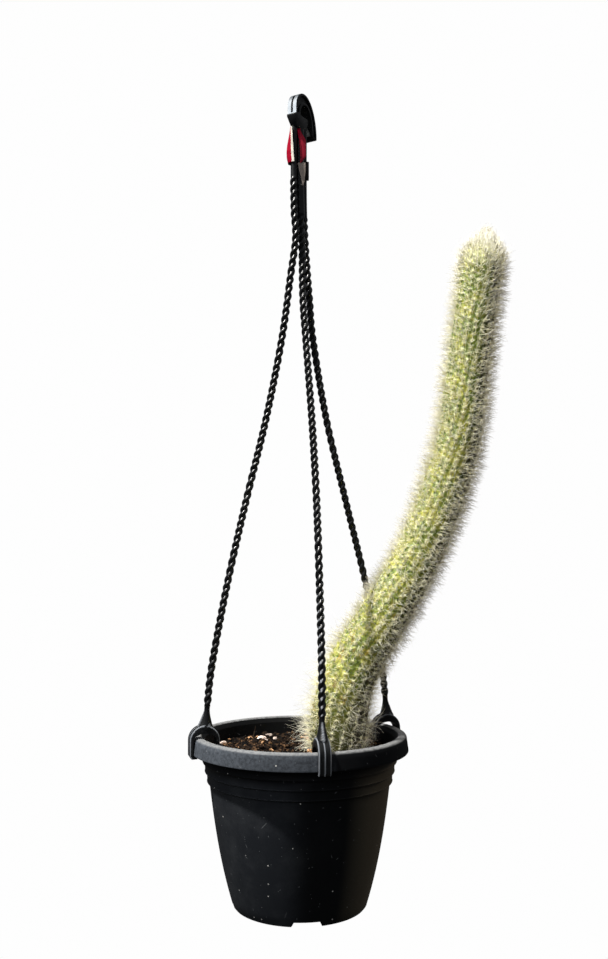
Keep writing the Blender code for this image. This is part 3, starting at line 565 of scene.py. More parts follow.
def strandBody(bm, facts):
    look = strandLook
    radial, tangent = levelWays(facts["azimuth"])
    stations = framesAlong(evenRoute([at(*point) for point in facts["route"]], look["step"] * mm))
    corners, soft = look["corners"], look["ropeBlend"]
    shapes = []
    for number, (point, side, across) in enumerate(stations):
        height = point.z / mm
        twist = math.tau * number * look["step"] / look["pitch"]
        laid = blendStep(facts["ropeTop"] + soft, facts["ropeTop"] - soft, height)
        laid *= blendStep(look["ropeBottom"] - soft, look["ropeBottom"] + soft, height)
        neck = facts.get("neckRadius", look["neckRadius"])
        plain = neck if height > look["lowNeckTop"] else look["lowNeckRadius"]
        # the low neck flares into the clip
        share = (look["flareTop"] - height) / (look["flareTop"] - look["clipTop"] + 1.0)
        share = min(1.0, max(0.0, share)) ** 1.5
        wideTangent = 1 + (look["flareTangent"] / plain - 1) * share
        ring = []
        for corner in range(corners):
            turn = math.tau * corner / corners
            radius = plain + (lobedRadius(turn) - plain) * laid
            spoke = radius * (math.cos(turn + twist) * side + math.sin(turn + twist) * across)
            outward, aside = spoke.dot(radial), spoke.dot(tangent)
            reach = look["flareOut"] if outward > 0 else look["flareRadial"]
            wideRadial = 1 + (reach / plain - 1) * share
            spoke = radial * outward * wideRadial + tangent * aside * wideTangent + up * spoke.z
            if share > 0.02 and spoke.dot(radial) > 0 and abs(spoke.dot(tangent)) < look["ribHalf"]:
                spoke += radial * look["ribRise"] * min(1.0, share * 4)
            spoke = spoke * mm
            ring.append((spoke.dot(side), spoke.dot(across)))
        shapes.append(ring)
    sweep(bm, corners, lambda step, corner: shapes[step][corner], stations)
    rib = bm.verts.layers.float.new("rib")
    along, order = bm.verts.layers.float["along"], bm.verts.layers.int["order"]
    for vert in bm.verts:
        step = round(vert[along] * (len(stations) - 1))
        point, side, across = stations[step]
        a, b = shapes[step][vert[order]]
        spoke = side * a + across * b
        middle = spoke.dot(radial) > 0 and abs(spoke.dot(tangent)) < look["ribHalf"] * mm
        # painted highlight along the flare's middle ridge, read as the rib attribute
        vert[rib] = 0.8 * middle * blendStep(look["flareTop"], look["flareTop"] - 5, point.z / mm)


def clipOutline(swell):
    look = strandLook
    lipTop = -potLook["bandHeight"] - 0.3
    lipBottom = lipTop - look["lipThickness"]
    outerFace = look["clipOuter"] - look["clipStrap"]
    middle = look["clipOuter"] - look["arch"]
    spring = look["clipTop"] - look["arch"]
    steps = look["archSteps"]

    def archPoints(radius, rise):
        turns = [math.pi * i / steps for i in range(steps + 1)]
        return [(middle + radius * math.cos(turn), spring + rise * math.sin(turn)) for turn in turns]

    inner = middle - look["arch"]
    return [
        (outerFace - look["lipReach"], lipBottom),
        (look["clipOuter"] + swell - 1.4, lipBottom - swell * 0.5),
        (look["clipOuter"] + swell, lipBottom + 2.0),
        *archPoints(look["arch"] + swell, look["arch"] + swell),
        (inner - swell, -look["innerEnd"] + 0.6),
        (inner + 0.5, -look["innerEnd"]),
        (inner + look["clipStrap"] - 0.5, -look["innerEnd"]),
        (inner + look["clipStrap"], -look["innerEnd"] + 0.6),
        *reversed(archPoints(look["arch"] - look["clipStrap"], look["holeTop"] - spring)),
        (outerFace, lipTop),
        (outerFace - look["lipReach"] + 0.5, lipTop),
        (outerFace - look["lipReach"], lipTop - 0.5),
    ]


def clipBody(bm, facts):
    # slices across its width, each with how far it swells: two raised edges and a middle ridge
    radial, tangent = levelWays(facts["azimuth"])
    half = strandLook["clipWidth"] / 2
    slices = [(-half, -0.1), (-half + 0.35, 0.4), (-half + 0.8, 0.45), (-half + 1.1, -0.05), (-0.95, -0.05),
              (-0.5, 0.5), (0.3, 0.5), (0.6, -0.05), (half - 1.1, -0.05), (half - 0.8, 0.45),
              (half - 0.5, 0.4), (half, -0.2)]
    outlines = [clipOutline(swell) for _, swell in slices]
    stations = [(tangent * offset * mm, radial, up) for offset, _ in slices]
    sweep(bm, len(outlines[0]), lambda step, corner: [size * mm for size in outlines[step][corner]], stations)


def roundedBlock(bm, centre, size, width):
    made = bmesh.ops.create_cube(bm, size=1.0)["verts"]
    bmesh.ops.scale(bm, verts=made, vec=size)
    bmesh.ops.translate(bm, verts=made, vec=centre)
    edges = list({edge for vert in made for edge in vert.link_edges})
    bmesh.ops.bevel(bm, geom=edges, offset=width, offset_type="OFFSET", segments=3, profile=0.5,
                    affect="EDGES", material=-1)


webLook = {
    # corners across and up, in mm; the web stands before the front neck, and its pale colour is painted light
    # for the neck's lit face
    "outline": ((-1.4, 401.0), (4.1, 401.0), (4.2, 396.0), (3.4, 388.0), (2.3, 384.4), (1.3, 388.0),
                (-0.6, 396.0)),
    "front": -4.75, "thickness": 1.0, "softEdge": 0.3,
    "plastic": {
        "colour": (0.13, 0.11, 0.097), "dustColour": (0.32, 0.28, 0.25), "dust": 0.9, "bump": 0.3,
        "gloss": 0.2,
    },
}


def makeNeckWeb():
    look = webLook
    bm = bmesh.new()
    face = bm.faces.new([bm.verts.new(at(x, look["front"], z)) for x, z in look["outline"]])
    grown = bmesh.ops.extrude_face_region(bm, geom=[face])["geom"]
    back = [item for item in grown if isinstance(item, bmesh.types.BMVert)]
    bmesh.ops.translate(bm, verts=back, vec=at(0, look["thickness"], 0))
    web = meshObject(bm, "neckWeb", blackPlastic("litWebPlastic", look["plastic"]))
    carve(web, [], look["softEdge"] * mm)
    mountPiece(web, "black_plastic")


def paleRidgeHighlights(strand, azimuth):
    # painted highlight: the outward-facing ridges and outer edges of the clip get a pale plastic for the
    # light they catch
    look = strandLook
    radial, tangent = levelWays(azimuth)
    half = look["clipWidth"] / 2
    for face in strand.data.polygons:
        place = (face.center - rimCentre) / mm
        out = place.dot(radial) - look["clipOuter"] + look["arch"]
        rise = max(0.0, place.z - look["clipTop"] + look["arch"])
        offset, facing = place.dot(tangent), face.normal
        ridge = -0.55 < offset < 0.35 or half - 0.85 < abs(offset) < half - 0.02
        outward = facing.dot(radial) * out + facing.z * rise > 0.3 * math.hypot(out, rise)
        if ridge and outward and math.hypot(out, rise) > look["arch"] - 0.9 and place.dot(radial) > 55:
            face.material_index = 1


def makeStrand(name, facts, plastic, ridgeHighlightPlastic):
    body = bmesh.new()
    strandBody(body, facts)
    padded = "pad" in facts
    if padded:
        middle, size = facts["pad"]
        roundedBlock(body, at(*middle), at(*size), 0.7 * mm)
    strand = meshObject(body, "strand" + name.capitalize(), plastic)
    clip = bmesh.new()
    clipBody(clip, facts)
    clipPiece = meshObject(clip, "clip", plastic)
    solidModifier(strand, clipPiece, "UNION").use_self = padded
    bakeModifiers(strand)
    bpy.data.objects.remove(clipPiece)
    strand.data.materials.append(ridgeHighlightPlastic)
    paleRidgeHighlights(strand, facts["azimuth"])
    mountPiece(strand, "black_plastic", "strand_" + name, sharp=40)


hookLook = {
    "azimuth": 60, "seatS": 2.6, "seatHeight": 442.8, "thickness": 7.0, "widening": 0.006,
    "crownS": 1.0, "crownHeight": 450.3, "shankReach": 11.8, "tipReach": 16.2, "tipRise": 26.3,
    "tipHeight": 423.4, "throatLeft": 7.6, "throatRight": 8.6, "throatRise": 17.6,
    "yokeTop": 433.8, "yokeBottom": 425.3, "yokeEnd": 5.4, "yokeStart": -8.2, "yokeThinning": 0.34,
    "lipHeight": 433.4, "lipReach": 1.1, "tipThickness": 4.0, "softEdge": 0.35,
    "grooveWidth": 1.5, "grooveDepth": 1.1, "grooveFoot": 0.8, "recessDepth": 1.2, "recessEdge": 1.6,
    "crownSteps": 16, "tipSteps": 32, "throatSteps": 18,
    "plastic": {
        "colour": (0.0035, 0.0038, 0.0042), "dustColour": (0.010, 0.0105, 0.0115), "dust": 0.3,
        "scratches": 0.4, "specks": 0.4, "roughness": (0.42, 0.52), "gloss": 0.18,
    },
    # painted highlight: the pale stripes on the hook's back, darkening towards the top
    "paintedHighlight": {
        "colour": (0.27, 0.30, 0.33), "dustColour": (0.36, 0.39, 0.42), "scratches": 0.2, "specks": 0.2,
        "fade": (438.5, 447.5, 0.0, 0.93), "fadeColour": (0.02, 0.024, 0.028),
    },
}


def hookPoint(s, height, t):
    # s runs from the shank to the tip in the hook's own upright plane, in mm
    look = hookLook
    wider = 1 + look["widening"] * (s + look["shankReach"] - look["crownS"])
    ahead, aside = levelWays(look["azimuth"])
    return (ahead * s + aside * t * wider + up * height) * mm


def quarter(s, height, reach, rise, steps, climbing):
    # a quarter of an ellipse round its middle, from its side up to its top or the other way
    points = []
    for i in range(steps + 1):
        turn = math.pi / 2 * i / steps
        level, upright = math.cos(turn), math.sin(turn)
        if not climbing:
            level, upright = upright, level
        points.append((s + reach * level, height + rise * upright))
    return points


def hookBack(offset):
    look = hookLook
    s, crown, shank = look["crownS"], look["crownHeight"], look["shankReach"]
    wide, rise = shank + offset, look["tipRise"]
    foot = [(s - shank - offset, look["lipHeight"] + look["grooveFoot"])] if offset else []
    return [*foot, *quarter(s, crown - shank, -wide, wide, look["crownSteps"], True)[:-1],
            *quarter(s, crown - rise, look["tipReach"] + offset, rise + offset, look["tipSteps"], False)]


def hookThroat(offset):
    look = hookLook
    s, seat, steps = look["seatS"], look["seatHeight"], look["throatSteps"]
    right, left, rise = (look[key] + offset for key in ("throatRight", "throatLeft", "throatRise"))
    return [*quarter(s, seat - look["throatRise"], right, rise, steps, True),
            *quarter(s, seat - look["throatLeft"], -left, left, steps, False)[1:]]


def slab(outline, near, far, name, *materials):
    # a flat outline in the hook's plane, extruded through its thickness
    bm = bmesh.new()
    face = bm.faces.new([bm.verts.new((s, height, 0)) for s, height in outline])
    grown = bmesh.ops.extrude_face_region(bm, geom=[face])["geom"]
    front = {item for item in grown if isinstance(item, bmesh.types.BMVert)}
    for vert in bm.verts:
        vert.co = hookPoint(vert.co.x, vert.co.y, far if vert in front else near)
    return meshObject(bm, name, *materials)


def narrowYoke(hook):
    # the yoke under the lip thins towards its foot
    look = hookLook
    ahead, aside = levelWays(look["azimuth"])
    for vert in hook.data.vertices:
        place = vert.co - rimCentre
        s, height = place.dot(ahead) / mm, place.z / mm
        share = blendStep(look["lipHeight"] - 1.5, look["yokeBottom"], height) * blendStep(9, 5, s)
        vert.co -= aside * place.dot(aside) * look["yokeThinning"] * share


def paleBackHighlight(hook):
    # painted highlight: the raised bands on the back of the shank get a pale plastic for the light they
    # reflect
    look = hookLook
    ahead, aside = levelWays(look["azimuth"])
    for face in hook.data.polygons:
        place = face.center - rimCentre
        s, height = place.dot(ahead) / mm, place.z / mm
        outward = Vector((s - look["crownS"], height - look["crownHeight"] + look["shankReach"]))
        if height < look["crownHeight"] - look["shankReach"]:
            outward.y = 0.0
        raised = outward.length > look["shankReach"] - 0.15
        across = abs(face.normal.dot(aside)) < 0.75
        if raised and across and s < look["crownS"] - 2.5 and height > look["lipHeight"] + 0.2:
            face.material_index = 1


def makeHook():
    look = hookLook
    plastic = blackPlastic("hookPlastic", look["plastic"])
    shank = look["crownS"] - look["shankReach"]
    tip = look["crownS"] + look["tipReach"]
    half = look["thickness"] / 2
    outline = [
        (look["yokeStart"], look["yokeBottom"]),
        (shank - look["lipReach"], look["lipHeight"] - 1.8),
        (shank - look["lipReach"], look["lipHeight"] - 0.4),
        (shank, look["lipHeight"]),
        *hookBack(0.0),
        (tip - 0.6, look["tipHeight"]),
        (tip + 0.4 - look["tipThickness"], look["tipHeight"]),
        (tip - 0.6 - look["tipThickness"], look["tipHeight"] + 0.9),
        *hookThroat(0.0),
        (look["seatS"] - look["throatLeft"], look["yokeTop"]),
        (look["yokeEnd"] - 0.9, look["yokeTop"]),
        (look["yokeEnd"], look["yokeTop"] - 0.9),
        (look["yokeEnd"] - 0.3, look["yokeBottom"]),
    ]
    hook = slab(outline, -half, half, "hangerHook", plastic)
    groove = hookBack(1.0) + list(reversed(hookBack(-look["grooveDepth"])))
    wide = look["grooveWidth"] / 2
    cutters = [slab(groove, -wide, wide, "grooveCutter")]
    web = hookBack(-look["recessEdge"]) + hookThroat(look["recessEdge"])
    for sign in (-1, 1):
        cutters.append(slab(web, sign * (half - look["recessDepth"]), sign * (half + 2), "webCutter"))
    carve(hook, cutters, look["softEdge"] * mm, angle=35, segments=3)
    hook.data.materials.append(blackPlastic("paintedHighlightPlastic", look["paintedHighlight"]))
    paleBackHighlight(hook)
    narrowYoke(hook)
    mountPiece(hook, "black_plastic", "hook", sharp=40)


# Label

labelLook = {
    # the film seen from above, from its front end round to its curl, and how far it bulges up its height
    "plan": ((4.2, -4.5), (2.6, -4.9), (1.0, -4.7), (0.1, -3.4), (-1.2, -2.5), (-3.5, -2.2), (-6.3, -1.7),
             (-8.7, -3.0), (-9.1, -5.1), (-8.1, -6.8), (-6.8, -7.5), (-5.2, -8.2), (-3.8, -8.7)),
    "bulge": (0.6, 0.95, 1.0, 0.85, 0.55, 0.25, 0.0), "curlStart": 5, "endSlant": 1.7, "frontSlant": 1.5,
    "bottom": 400.2, "top": 424.9, "frontLift": 1.6, "ripple": 0.25, "thickness": 0.3, "columns": 48,
    "rows": 28, "paleStart": -5.6, "paleSlant": 0.9,
    "outside": (0.215, 0.0023, 0.0145), "front": (0.19, 0.0105, 0.022), "inside": (0.50, 0.48, 0.42),
    "darker": 0.72, "scales": {"Patch Scale": 160.0, "Fleck Scale": 900.0}, "roughness": (0.35, 0.5),
    "gloss": 0.03, "bump": 0.1, "bumpHeight": 0.03 * mm,
}


def lerpList(values, share):
    place = share * (len(values) - 1)
    low = min(int(place), len(values) - 2)
    return values[low] + (values[low + 1] - values[low]) * (place - low)


def labelMaterial(name, colour):
    look = labelLook
    material, tree, shader, coords = newMaterial(name)
    flecks = useGroup(tree, mottle, coords, look["scales"])
    darker = [value * look["darker"] for value in colour]
    plug(tree, shader, {
        "Base Color": mixColour(tree, flecks["Patches"], darker, colour),
        "Roughness": spread(tree, flecks["Flecks"], 0.0, 1.0, *look["roughness"]),
        "Specular IOR Level": look["gloss"],
    })
    bump(tree, shader, flecks["Fine"], look["bump"], look["bumpHeight"])
    return material


def makeLabel():
    look = labelLook
    line = smoothRoute([Vector((x, y, 0)) for x, y in look["plan"]], 0.25)
    pivot = Vector((*look["plan"][look["curlStart"]], 0))
    bm = bmesh.new()
    bmesh.ops.create_grid(bm, x_segments=look["columns"], y_segments=look["rows"], size=0.5)
    for vert in bm.verts:
        run, rise = vert.co.x + 0.5, vert.co.y + 0.5
        point = line[round(run * (len(line) - 1))].copy()
        bulge = lerpList(look["bulge"], rise)
        if point.x < pivot.x:
            point.x = pivot.x + (point.x - pivot.x) * (0.55 + 0.45 * bulge)
        # its front end narrows towards the top and the bottom
        narrow = 0.5 * blendStep(0.6, 1.0, rise) + 0.3 * blendStep(0.16, 0.0, rise)
        point.x = pivot.x + (point.x - pivot.x) * (1 - narrow * blendStep(0.3, 0.0, run))
        point.x -= look["endSlant"] * rise * blendStep(0.78, 1.0, run)
        point.x -= look["frontSlant"] * rise * blendStep(0.0, 0.10, run) * blendStep(0.32, 0.16, run)
        low = look["bottom"] + look["frontLift"] * blendStep(0.12, 0.0, run)
        height = low + (look["top"] - low) * rise + look["ripple"] * math.sin(run * 9)
        vert.co = at(point.x, point.y, height)
    sides = ("outside", "inside", "front")
    materials = [labelMaterial("label" + side.capitalize(), look[side]) for side in sides]
    label = meshObject(bm, "redLabel", *materials)
    skin = label.modifiers.new("film", "SOLIDIFY")
    skin.thickness = look["thickness"] * mm
    skin.offset = 0
    skin.material_offset = 1
    bakeModifiers(label)
    for face in label.data.polygons:
        place = (face.center - rimCentre) / mm
        rise = (place.z - look["bottom"]) / (look["top"] - look["bottom"])
        if place.x > 0.0:
            face.material_index = 2
        else:
            pale = place.x > look["paleStart"] - look["paleSlant"] * rise
            face.material_index = int(place.y < -7.0 and pale)
    mountPiece(label, "red_label", "tag", sharp=60)


# Soil

soilLook = {
    "depth": 12.5, "relief": 1.3, "fineRelief": 0.55, "radius": 66.1, "rings": 56, "segments": 168,
    "wallGap": 0.6, "sideDepths": (18, 30, 38, 55, 75, 93, 107), "edge": 2.5, "tilt": 0.7, "stemRoom": 16.0,
    "roughness": 0.95, "gloss": 0.12, "bump": 0.6, "bumpHeight": 0.25 * mm,
    # materials: the dark colour, the light one and the scale of the flecks between them
    "pottingSoil": ((0.0016, 0.0010, 0.0007), (0.0050, 0.0029, 0.0016), 700.0),
    "soilCrumb": ((0.0024, 0.0014, 0.0008), (0.036, 0.0195, 0.0095), 900.0),
    "barkChip": ((0.016, 0.0090, 0.0045), (0.15, 0.086, 0.045), 600.0),
    "pumice": ((0.28, 0.21, 0.175), (0.62, 0.52, 0.46), 500.0),
    "twigWood": ((0.22, 0.14, 0.08), (0.45, 0.33, 0.22), 800.0),
    # scattered bits: their piece, material and template names, how many, their sizes, how flat, how proud
    "bits": (("soilCrumbs", "soilCrumb", "crumb", 3200, (0.5, 1.7), (0.5, 0.9), 0.2),
             ("barkChips", "barkChip", "chip", 110, (1.6, 3.6), (0.25, 0.5), 0.5)),
    "bitShapes": 8, "stoneShapes": 4,
    # stones: across, back and size
    "stones": ((-59.0, 16.0, 2.4), (-56.0, 21.0, 2.0), (-29.0, 40.0, 2.2), (-23.5, 46.0, 2.1),
               (-26.0, 35.0, 1.6), (-19.0, 43.0, 1.6), (46.0, 38.0, 2.0), (50.0, 33.0, 1.7),
               (-4.0, -30.0, 2.0), (20.0, -44.0, 1.8), (-33.0, -38.0, 1.8), (10.0, 52.0, 2.2),
               (-50.0, -18.0, 1.5), (52.0, -6.0, 1.8)),
    "twig": ((-35.0, 46.5, -14.0), (-34.8, 46.3, -10.0), (-34.0, 46.0, -7.0), (-33.5, 45.6, -3.6)),
    "twigRadius": 0.5, "twigTaper": 0.06, "twigCorners": 8,
}
stemFoot = Vector((26.0, 0.0))


def soilHeight(x, y):
    rough = noise.noise(Vector((x, y, 0.0)) * 140.0) + 0.6 * noise.noise(Vector((x, y, 0.02)) * 330.0)
    return (-soilLook["depth"] + soilLook["relief"] * rough) * mm


def soilMaterial(name):
    look = soilLook
    dark, light, fleckScale = look[name]
    material, tree, shader, coords = newMaterial(name)
    grains = useGroup(tree, mottle, coords, {"Patch Scale": 120.0, "Fleck Scale": fleckScale})
    colour = mixColour(tree, grains["Flecks"], dark, light)
    # the shade attribute darkens most bits and brightens the rest
    tint = maths(tree, "POWER", attributeValue(tree, "shade"), 4.5)
    tint = maths(tree, "ADD", times(tree, tint, 5.5), 0.08)
    grey = node(tree, "CombineColor", {0: tint, 1: tint, 2: tint}).outputs[0]
    colour = mixColour(tree, 1.0, colour, grey, "MULTIPLY")
    plug(tree, shader, {
        "Base Color": colour, "Roughness": look["roughness"], "Specular IOR Level": look["gloss"],
    })
    bump(tree, shader, grains["Fine"], look["bump"], look["bumpHeight"])
    return material


def rockBlob(draw, size, flat, material, name, subdivisions=1):
    bm = bmesh.new()
    bmesh.ops.create_icosphere(bm, subdivisions=subdivisions, radius=size * mm)
    long = draw.uniform(1.1, 1.9)
    for vert in bm.verts:
        vert.co *= draw.uniform(0.72, 1.12)
        vert.co.x *= long
        vert.co.z *= flat
    bmesh.ops.translate(bm, verts=bm.verts, vec=-rimCentre)
    return meshObject(bm, name, material)


def scatter(name, places, templates):
    # sets copies of the templates at the places, and makes them one mesh
    group = bpy.data.collections.new(name + "Templates")
    bpy.context.scene.collection.children.link(group)
    for template in templates:
        bpy.context.scene.collection.objects.unlink(template)
        group.objects.link(template)
    bm = bmesh.new()
    turnLayer = bm.verts.layers.float_vector.new("turn")
    growLayer = bm.verts.layers.float_vector.new("grow")
    pickLayer = bm.verts.layers.int.new("pick")
    shadeLayer = bm.verts.layers.float.new("shade")
    for point, matrix, grow, pick, shade in places:
        vert = bm.verts.new(point)
        vert[turnLayer] = Vector(matrix.to_euler())
        vert[growLayer] = Vector((grow, grow, grow))
        vert[pickLayer] = pick
        vert[shadeLayer] = shade
    piece = meshObject(bm, name)
    tree = bpy.data.node_groups.new(name, "GeometryNodeTree")
    for way in ("INPUT", "OUTPUT"):
        tree.interface.new_socket(name="Geometry", in_out=way, socket_type="NodeSocketGeometry")
    start, end = tree.nodes.new("NodeGroupInput"), tree.nodes.new("NodeGroupOutput")
    info = tree.nodes.new("GeometryNodeCollectionInfo")
    plug(tree, info, {"Collection": group, "Separate Children": True, "Reset Children": True})
    put = tree.nodes.new("GeometryNodeInstanceOnPoints")
    toTurn = tree.nodes.new("FunctionNodeEulerToRotation")
    stored = {}
    for label, kind in (("turn", "FLOAT_VECTOR"), ("grow", "FLOAT_VECTOR"), ("pick", "INT")):
        made = tree.nodes.new("GeometryNodeInputNamedAttribute")
        made.data_type = kind
        made.inputs["Name"].default_value = label
        stored[label] = made.outputs["Attribute"]
    plug(tree, toTurn, {0: stored["turn"]})
    plug(tree, put, {
        "Points": start.outputs[0], "Instance": info.outputs[0], "Pick Instance": True,
        "Instance Index": stored["pick"], "Rotation": toTurn.outputs[0], "Scale": stored["grow"],
    })
    real = tree.nodes.new("GeometryNodeRealizeInstances")
    plug(tree, real, {0: put.outputs[0]})
    plug(tree, end, {0: real.outputs[0]})
    piece.modifiers.new("place", "NODES").node_group = tree
    bpy.context.view_layer.update()
    bakeModifiers(piece)
    for template in templates:
        bpy.data.objects.remove(template)
    bpy.data.collections.remove(group)
    bpy.data.node_groups.remove(tree)
    for label in ("turn", "grow", "pick", "order"):
        if label in piece.data.attributes:
            piece.data.attributes.remove(piece.data.attributes[label])
    return piece


def onSoil(x, y, lift):
    return Vector((x * mm, y * mm, soilHeight(x * mm, y * mm) + lift * mm))


def soilPlaces(draw, count, growRange, lift):
    look = soilLook
    reach, tilt = look["radius"] - look["edge"], look["tilt"]
    places = []
    while len(places) < count:
        x, y = draw.uniform(-1, 1) * reach, draw.uniform(-1, 1) * reach
        if math.hypot(x, y) > reach or math.hypot(x - stemFoot.x, y) < look["stemRoom"]:
            continue
        matrix = Matrix.Rotation(draw.uniform(0, math.tau), 3, "Z")
        for axis in "XY":
            matrix = matrix @ Matrix.Rotation(draw.uniform(-tilt, tilt), 3, axis)
        pick = (draw.uniform(*growRange), draw.randrange(look["bitShapes"]), draw.random())
        places.append((onSoil(x, y, lift), matrix, *pick))
    return places


def makeSoilBed():
    look = soilLook
    wall, depth = potLook["wall"], look["depth"]
    shares = [i / look["rings"] for i in range(look["rings"] + 1)]
    profile = [(look["radius"] * share, -depth) for share in shares]
    profile += [(bodyRadius(side + 1.2) - wall - look["wallGap"], -side) for side in look["sideDepths"]]
    floorDepth = potLook["height"] - potLook["footRecess"] - wall
    profile += [(bodyRadius(floorDepth) - wall - 3.3, -floorDepth + 0.3), (0.0, -floorDepth + 0.3)]
    bm = turned(profile, look["segments"])
    shadeLayer = bm.verts.layers.float.new("shade")
    for vert in bm.verts:
        vert[shadeLayer] = 0.35
        if abs(vert.co.z + depth * mm) < 0.01 * mm:
            # the top is rough, and level where it meets the pot
            calm = blendStep(look["radius"], look["radius"] - 3, vert.co.xy.length / mm)
            x, y = vert.co.x, vert.co.y
            fine = noise.noise(Vector((x, y, 0.05)) * 800.0)
            fine += 0.7 * noise.noise(Vector((x, y, 0.09)) * 1500.0)
            vert.co.z += (soilHeight(x, y) + depth * mm + look["fineRelief"] * mm * fine) * calm
            vert[shadeLayer] = 0.3 + 0.25 * fine
    mountPiece(meshObject(bm, "soilBed", soilMaterial("pottingSoil")), "potting_soil", "soil", sharp=70)


def makeStones(draw):
    look = soilLook
    stone, shapes = soilMaterial("pumice"), look["stoneShapes"]
    templates = [rockBlob(draw, 1.0, draw.uniform(0.7, 0.95), stone, f"pumice{i}", 2) for i in range(shapes)]
    places = []
    for x, y, size in look["stones"]:
        matrix = Matrix.Rotation(draw.uniform(0, math.tau), 3, "Z")
        point = onSoil(x, y, 0.4 * size)
        places.append((point, matrix, size, draw.randrange(shapes), draw.uniform(0.55, 0.8)))
    mountPiece(scatter("pumiceGrains", places, templates), "potting_soil", sharp=30)


def makeTwig():
    look = soilLook
    bm = bmesh.new()
    stations = framesAlong(smoothRoute([at(*point) for point in look["twig"]], mm))
    corners = look["twigCorners"]

    def shape(step, corner):
        radius = look["twigRadius"] * mm * (1 - look["twigTaper"] * step)
        turn = math.tau * corner / corners
        return radius * math.cos(turn), radius * math.sin(turn)

    sweep(bm, corners, shape, stations)
    mountPiece(meshObject(bm, "twig", soilMaterial("twigWood")), "potting_soil")


def makeSoil():
    look = soilLook
    draw = random.Random(21)
    makeSoilBed()
    for name, materialName, label, count, sizes, flat, lift in look["bits"]:
        material = soilMaterial(materialName)
        templates = [rockBlob(draw, 1.0, draw.uniform(*flat), material, f"{label}{i}")
                     for i in range(look["bitShapes"])]
        piece = scatter(name, soilPlaces(draw, count, sizes, lift), templates)
        mountPiece(piece, "potting_soil", sharp=30)
    makeStones(draw)
    makeTwig()


# Cactus stem and its hairs

stemLook = {
    "line": ((25.0, 0.0, -40.0), (26.0, 0.0, -12.0), (29.8, -2.5, 22.0), (39.6, -6.5, 51.0),
             (57.0, -8.0, 80.0), (81.0, -8.0, 122.0), (98.5, -6.0, 164.0), (111.0, -5.0, 206.0),
             (117.0, -4.0, 248.0), (122.5, -4.0, 290.0), (127.5, -4.0, 325.0), (130.6, -4.0, 346.0)),
    "buried": 18.4, "baseRadius": 17.2, "topRadius": 14.2, "butt": 5.2, "buttFade": 60, "foot": 30.0,
    "swell": 12.0, "dome": 20.0, "ribs": 18, "ribDepth": 0.6, "perRib": 8, "step": 0.75,
    "areoleSpacing": 4.4, "tubercle": 1.0, "twist": 0.0065, "meshStart": 18, "awayFromKeyLight": (0.94, -0.34, -0.1),
}
skinLook = {
    "green": (0.21, 0.28, 0.033), "yellow": (0.50, 0.49, 0.085), "ochre": (0.52, 0.31, 0.040),
    # painted shade: the near-black groove colour and the dark brown shade-side colour
    "groove": (0.020, 0.036, 0.009), "young": (0.55, 0.55, 0.27), "skinShadeSide": (0.020, 0.016, 0.009),
    "base": (0.055, 0.056, 0.014), "scales": {"Patch Scale": 95.0, "Fleck Scale": 420.0},
    # how much patches, flecks and areoles yellow the green
    "patchShare": 0.65, "fleckShare": 0.5, "areoleShare": 0.3, "yellowing": (0.42, 0.85),
    # ramps up the stem, in mm above the rim, and what each gives at its two ends
    "lowYellow": (300, 160, -0.16, 0.08), "oldPart": (140, 30, 0.15, 1.0), "footPart": (45, -3, 0.0, 0.9),
    "youngPart": (322, 340, 0.0, 0.85),
    "brownNoise": (160.0, 3.0, 0.6), "browned": (0.55, 0.68, 0.0, 0.8), "creaseShade": (0.4, 0.0, 0.0, 0.45),
    "gapShade": (0.3, 0.85, 0.0, 0.75), "gapShadePatches": (0.0, 1.0, 1.0, 0.45), "skinShadeShare": 0.92,
    "speckNoise": (1100.0, 2.0, 0.6), "specks": (0.52, 0.42, 0.0, 0.6), "roughness": (0.3, 0.7, 0.45, 0.62),
    "bump": 0.3, "bumpHeight": 0.1 * mm,
}


def stemPath():
    route = evenRoute([at(*point) for point in stemLook["line"]], stemLook["step"] * mm)
    lengths = [0.0]
    for before, point in zip(route, route[1:]):
        lengths.append(lengths[-1] + (point - before).length / mm)
    return route, lengths


def stemRadius(length, total):
    look = stemLook
    foot = look["foot"]
    if length < foot:
        return look["buried"]
    share = (length - foot) / (total - foot)
    wide = look["baseRadius"] + (look["topRadius"] - look["baseRadius"]) * share
    wide += look["butt"] * math.exp((foot - length) / look["buttFade"])
    if length < foot + look["swell"]:
        wide = look["buried"] + (wide - look["buried"]) * (length - foot) / look["swell"]
    left = total - length
    if left < look["dome"]:
        wide *= math.sqrt(max(0.0, 1 - (1 - left / look["dome"]) ** 2.2))
    return wide


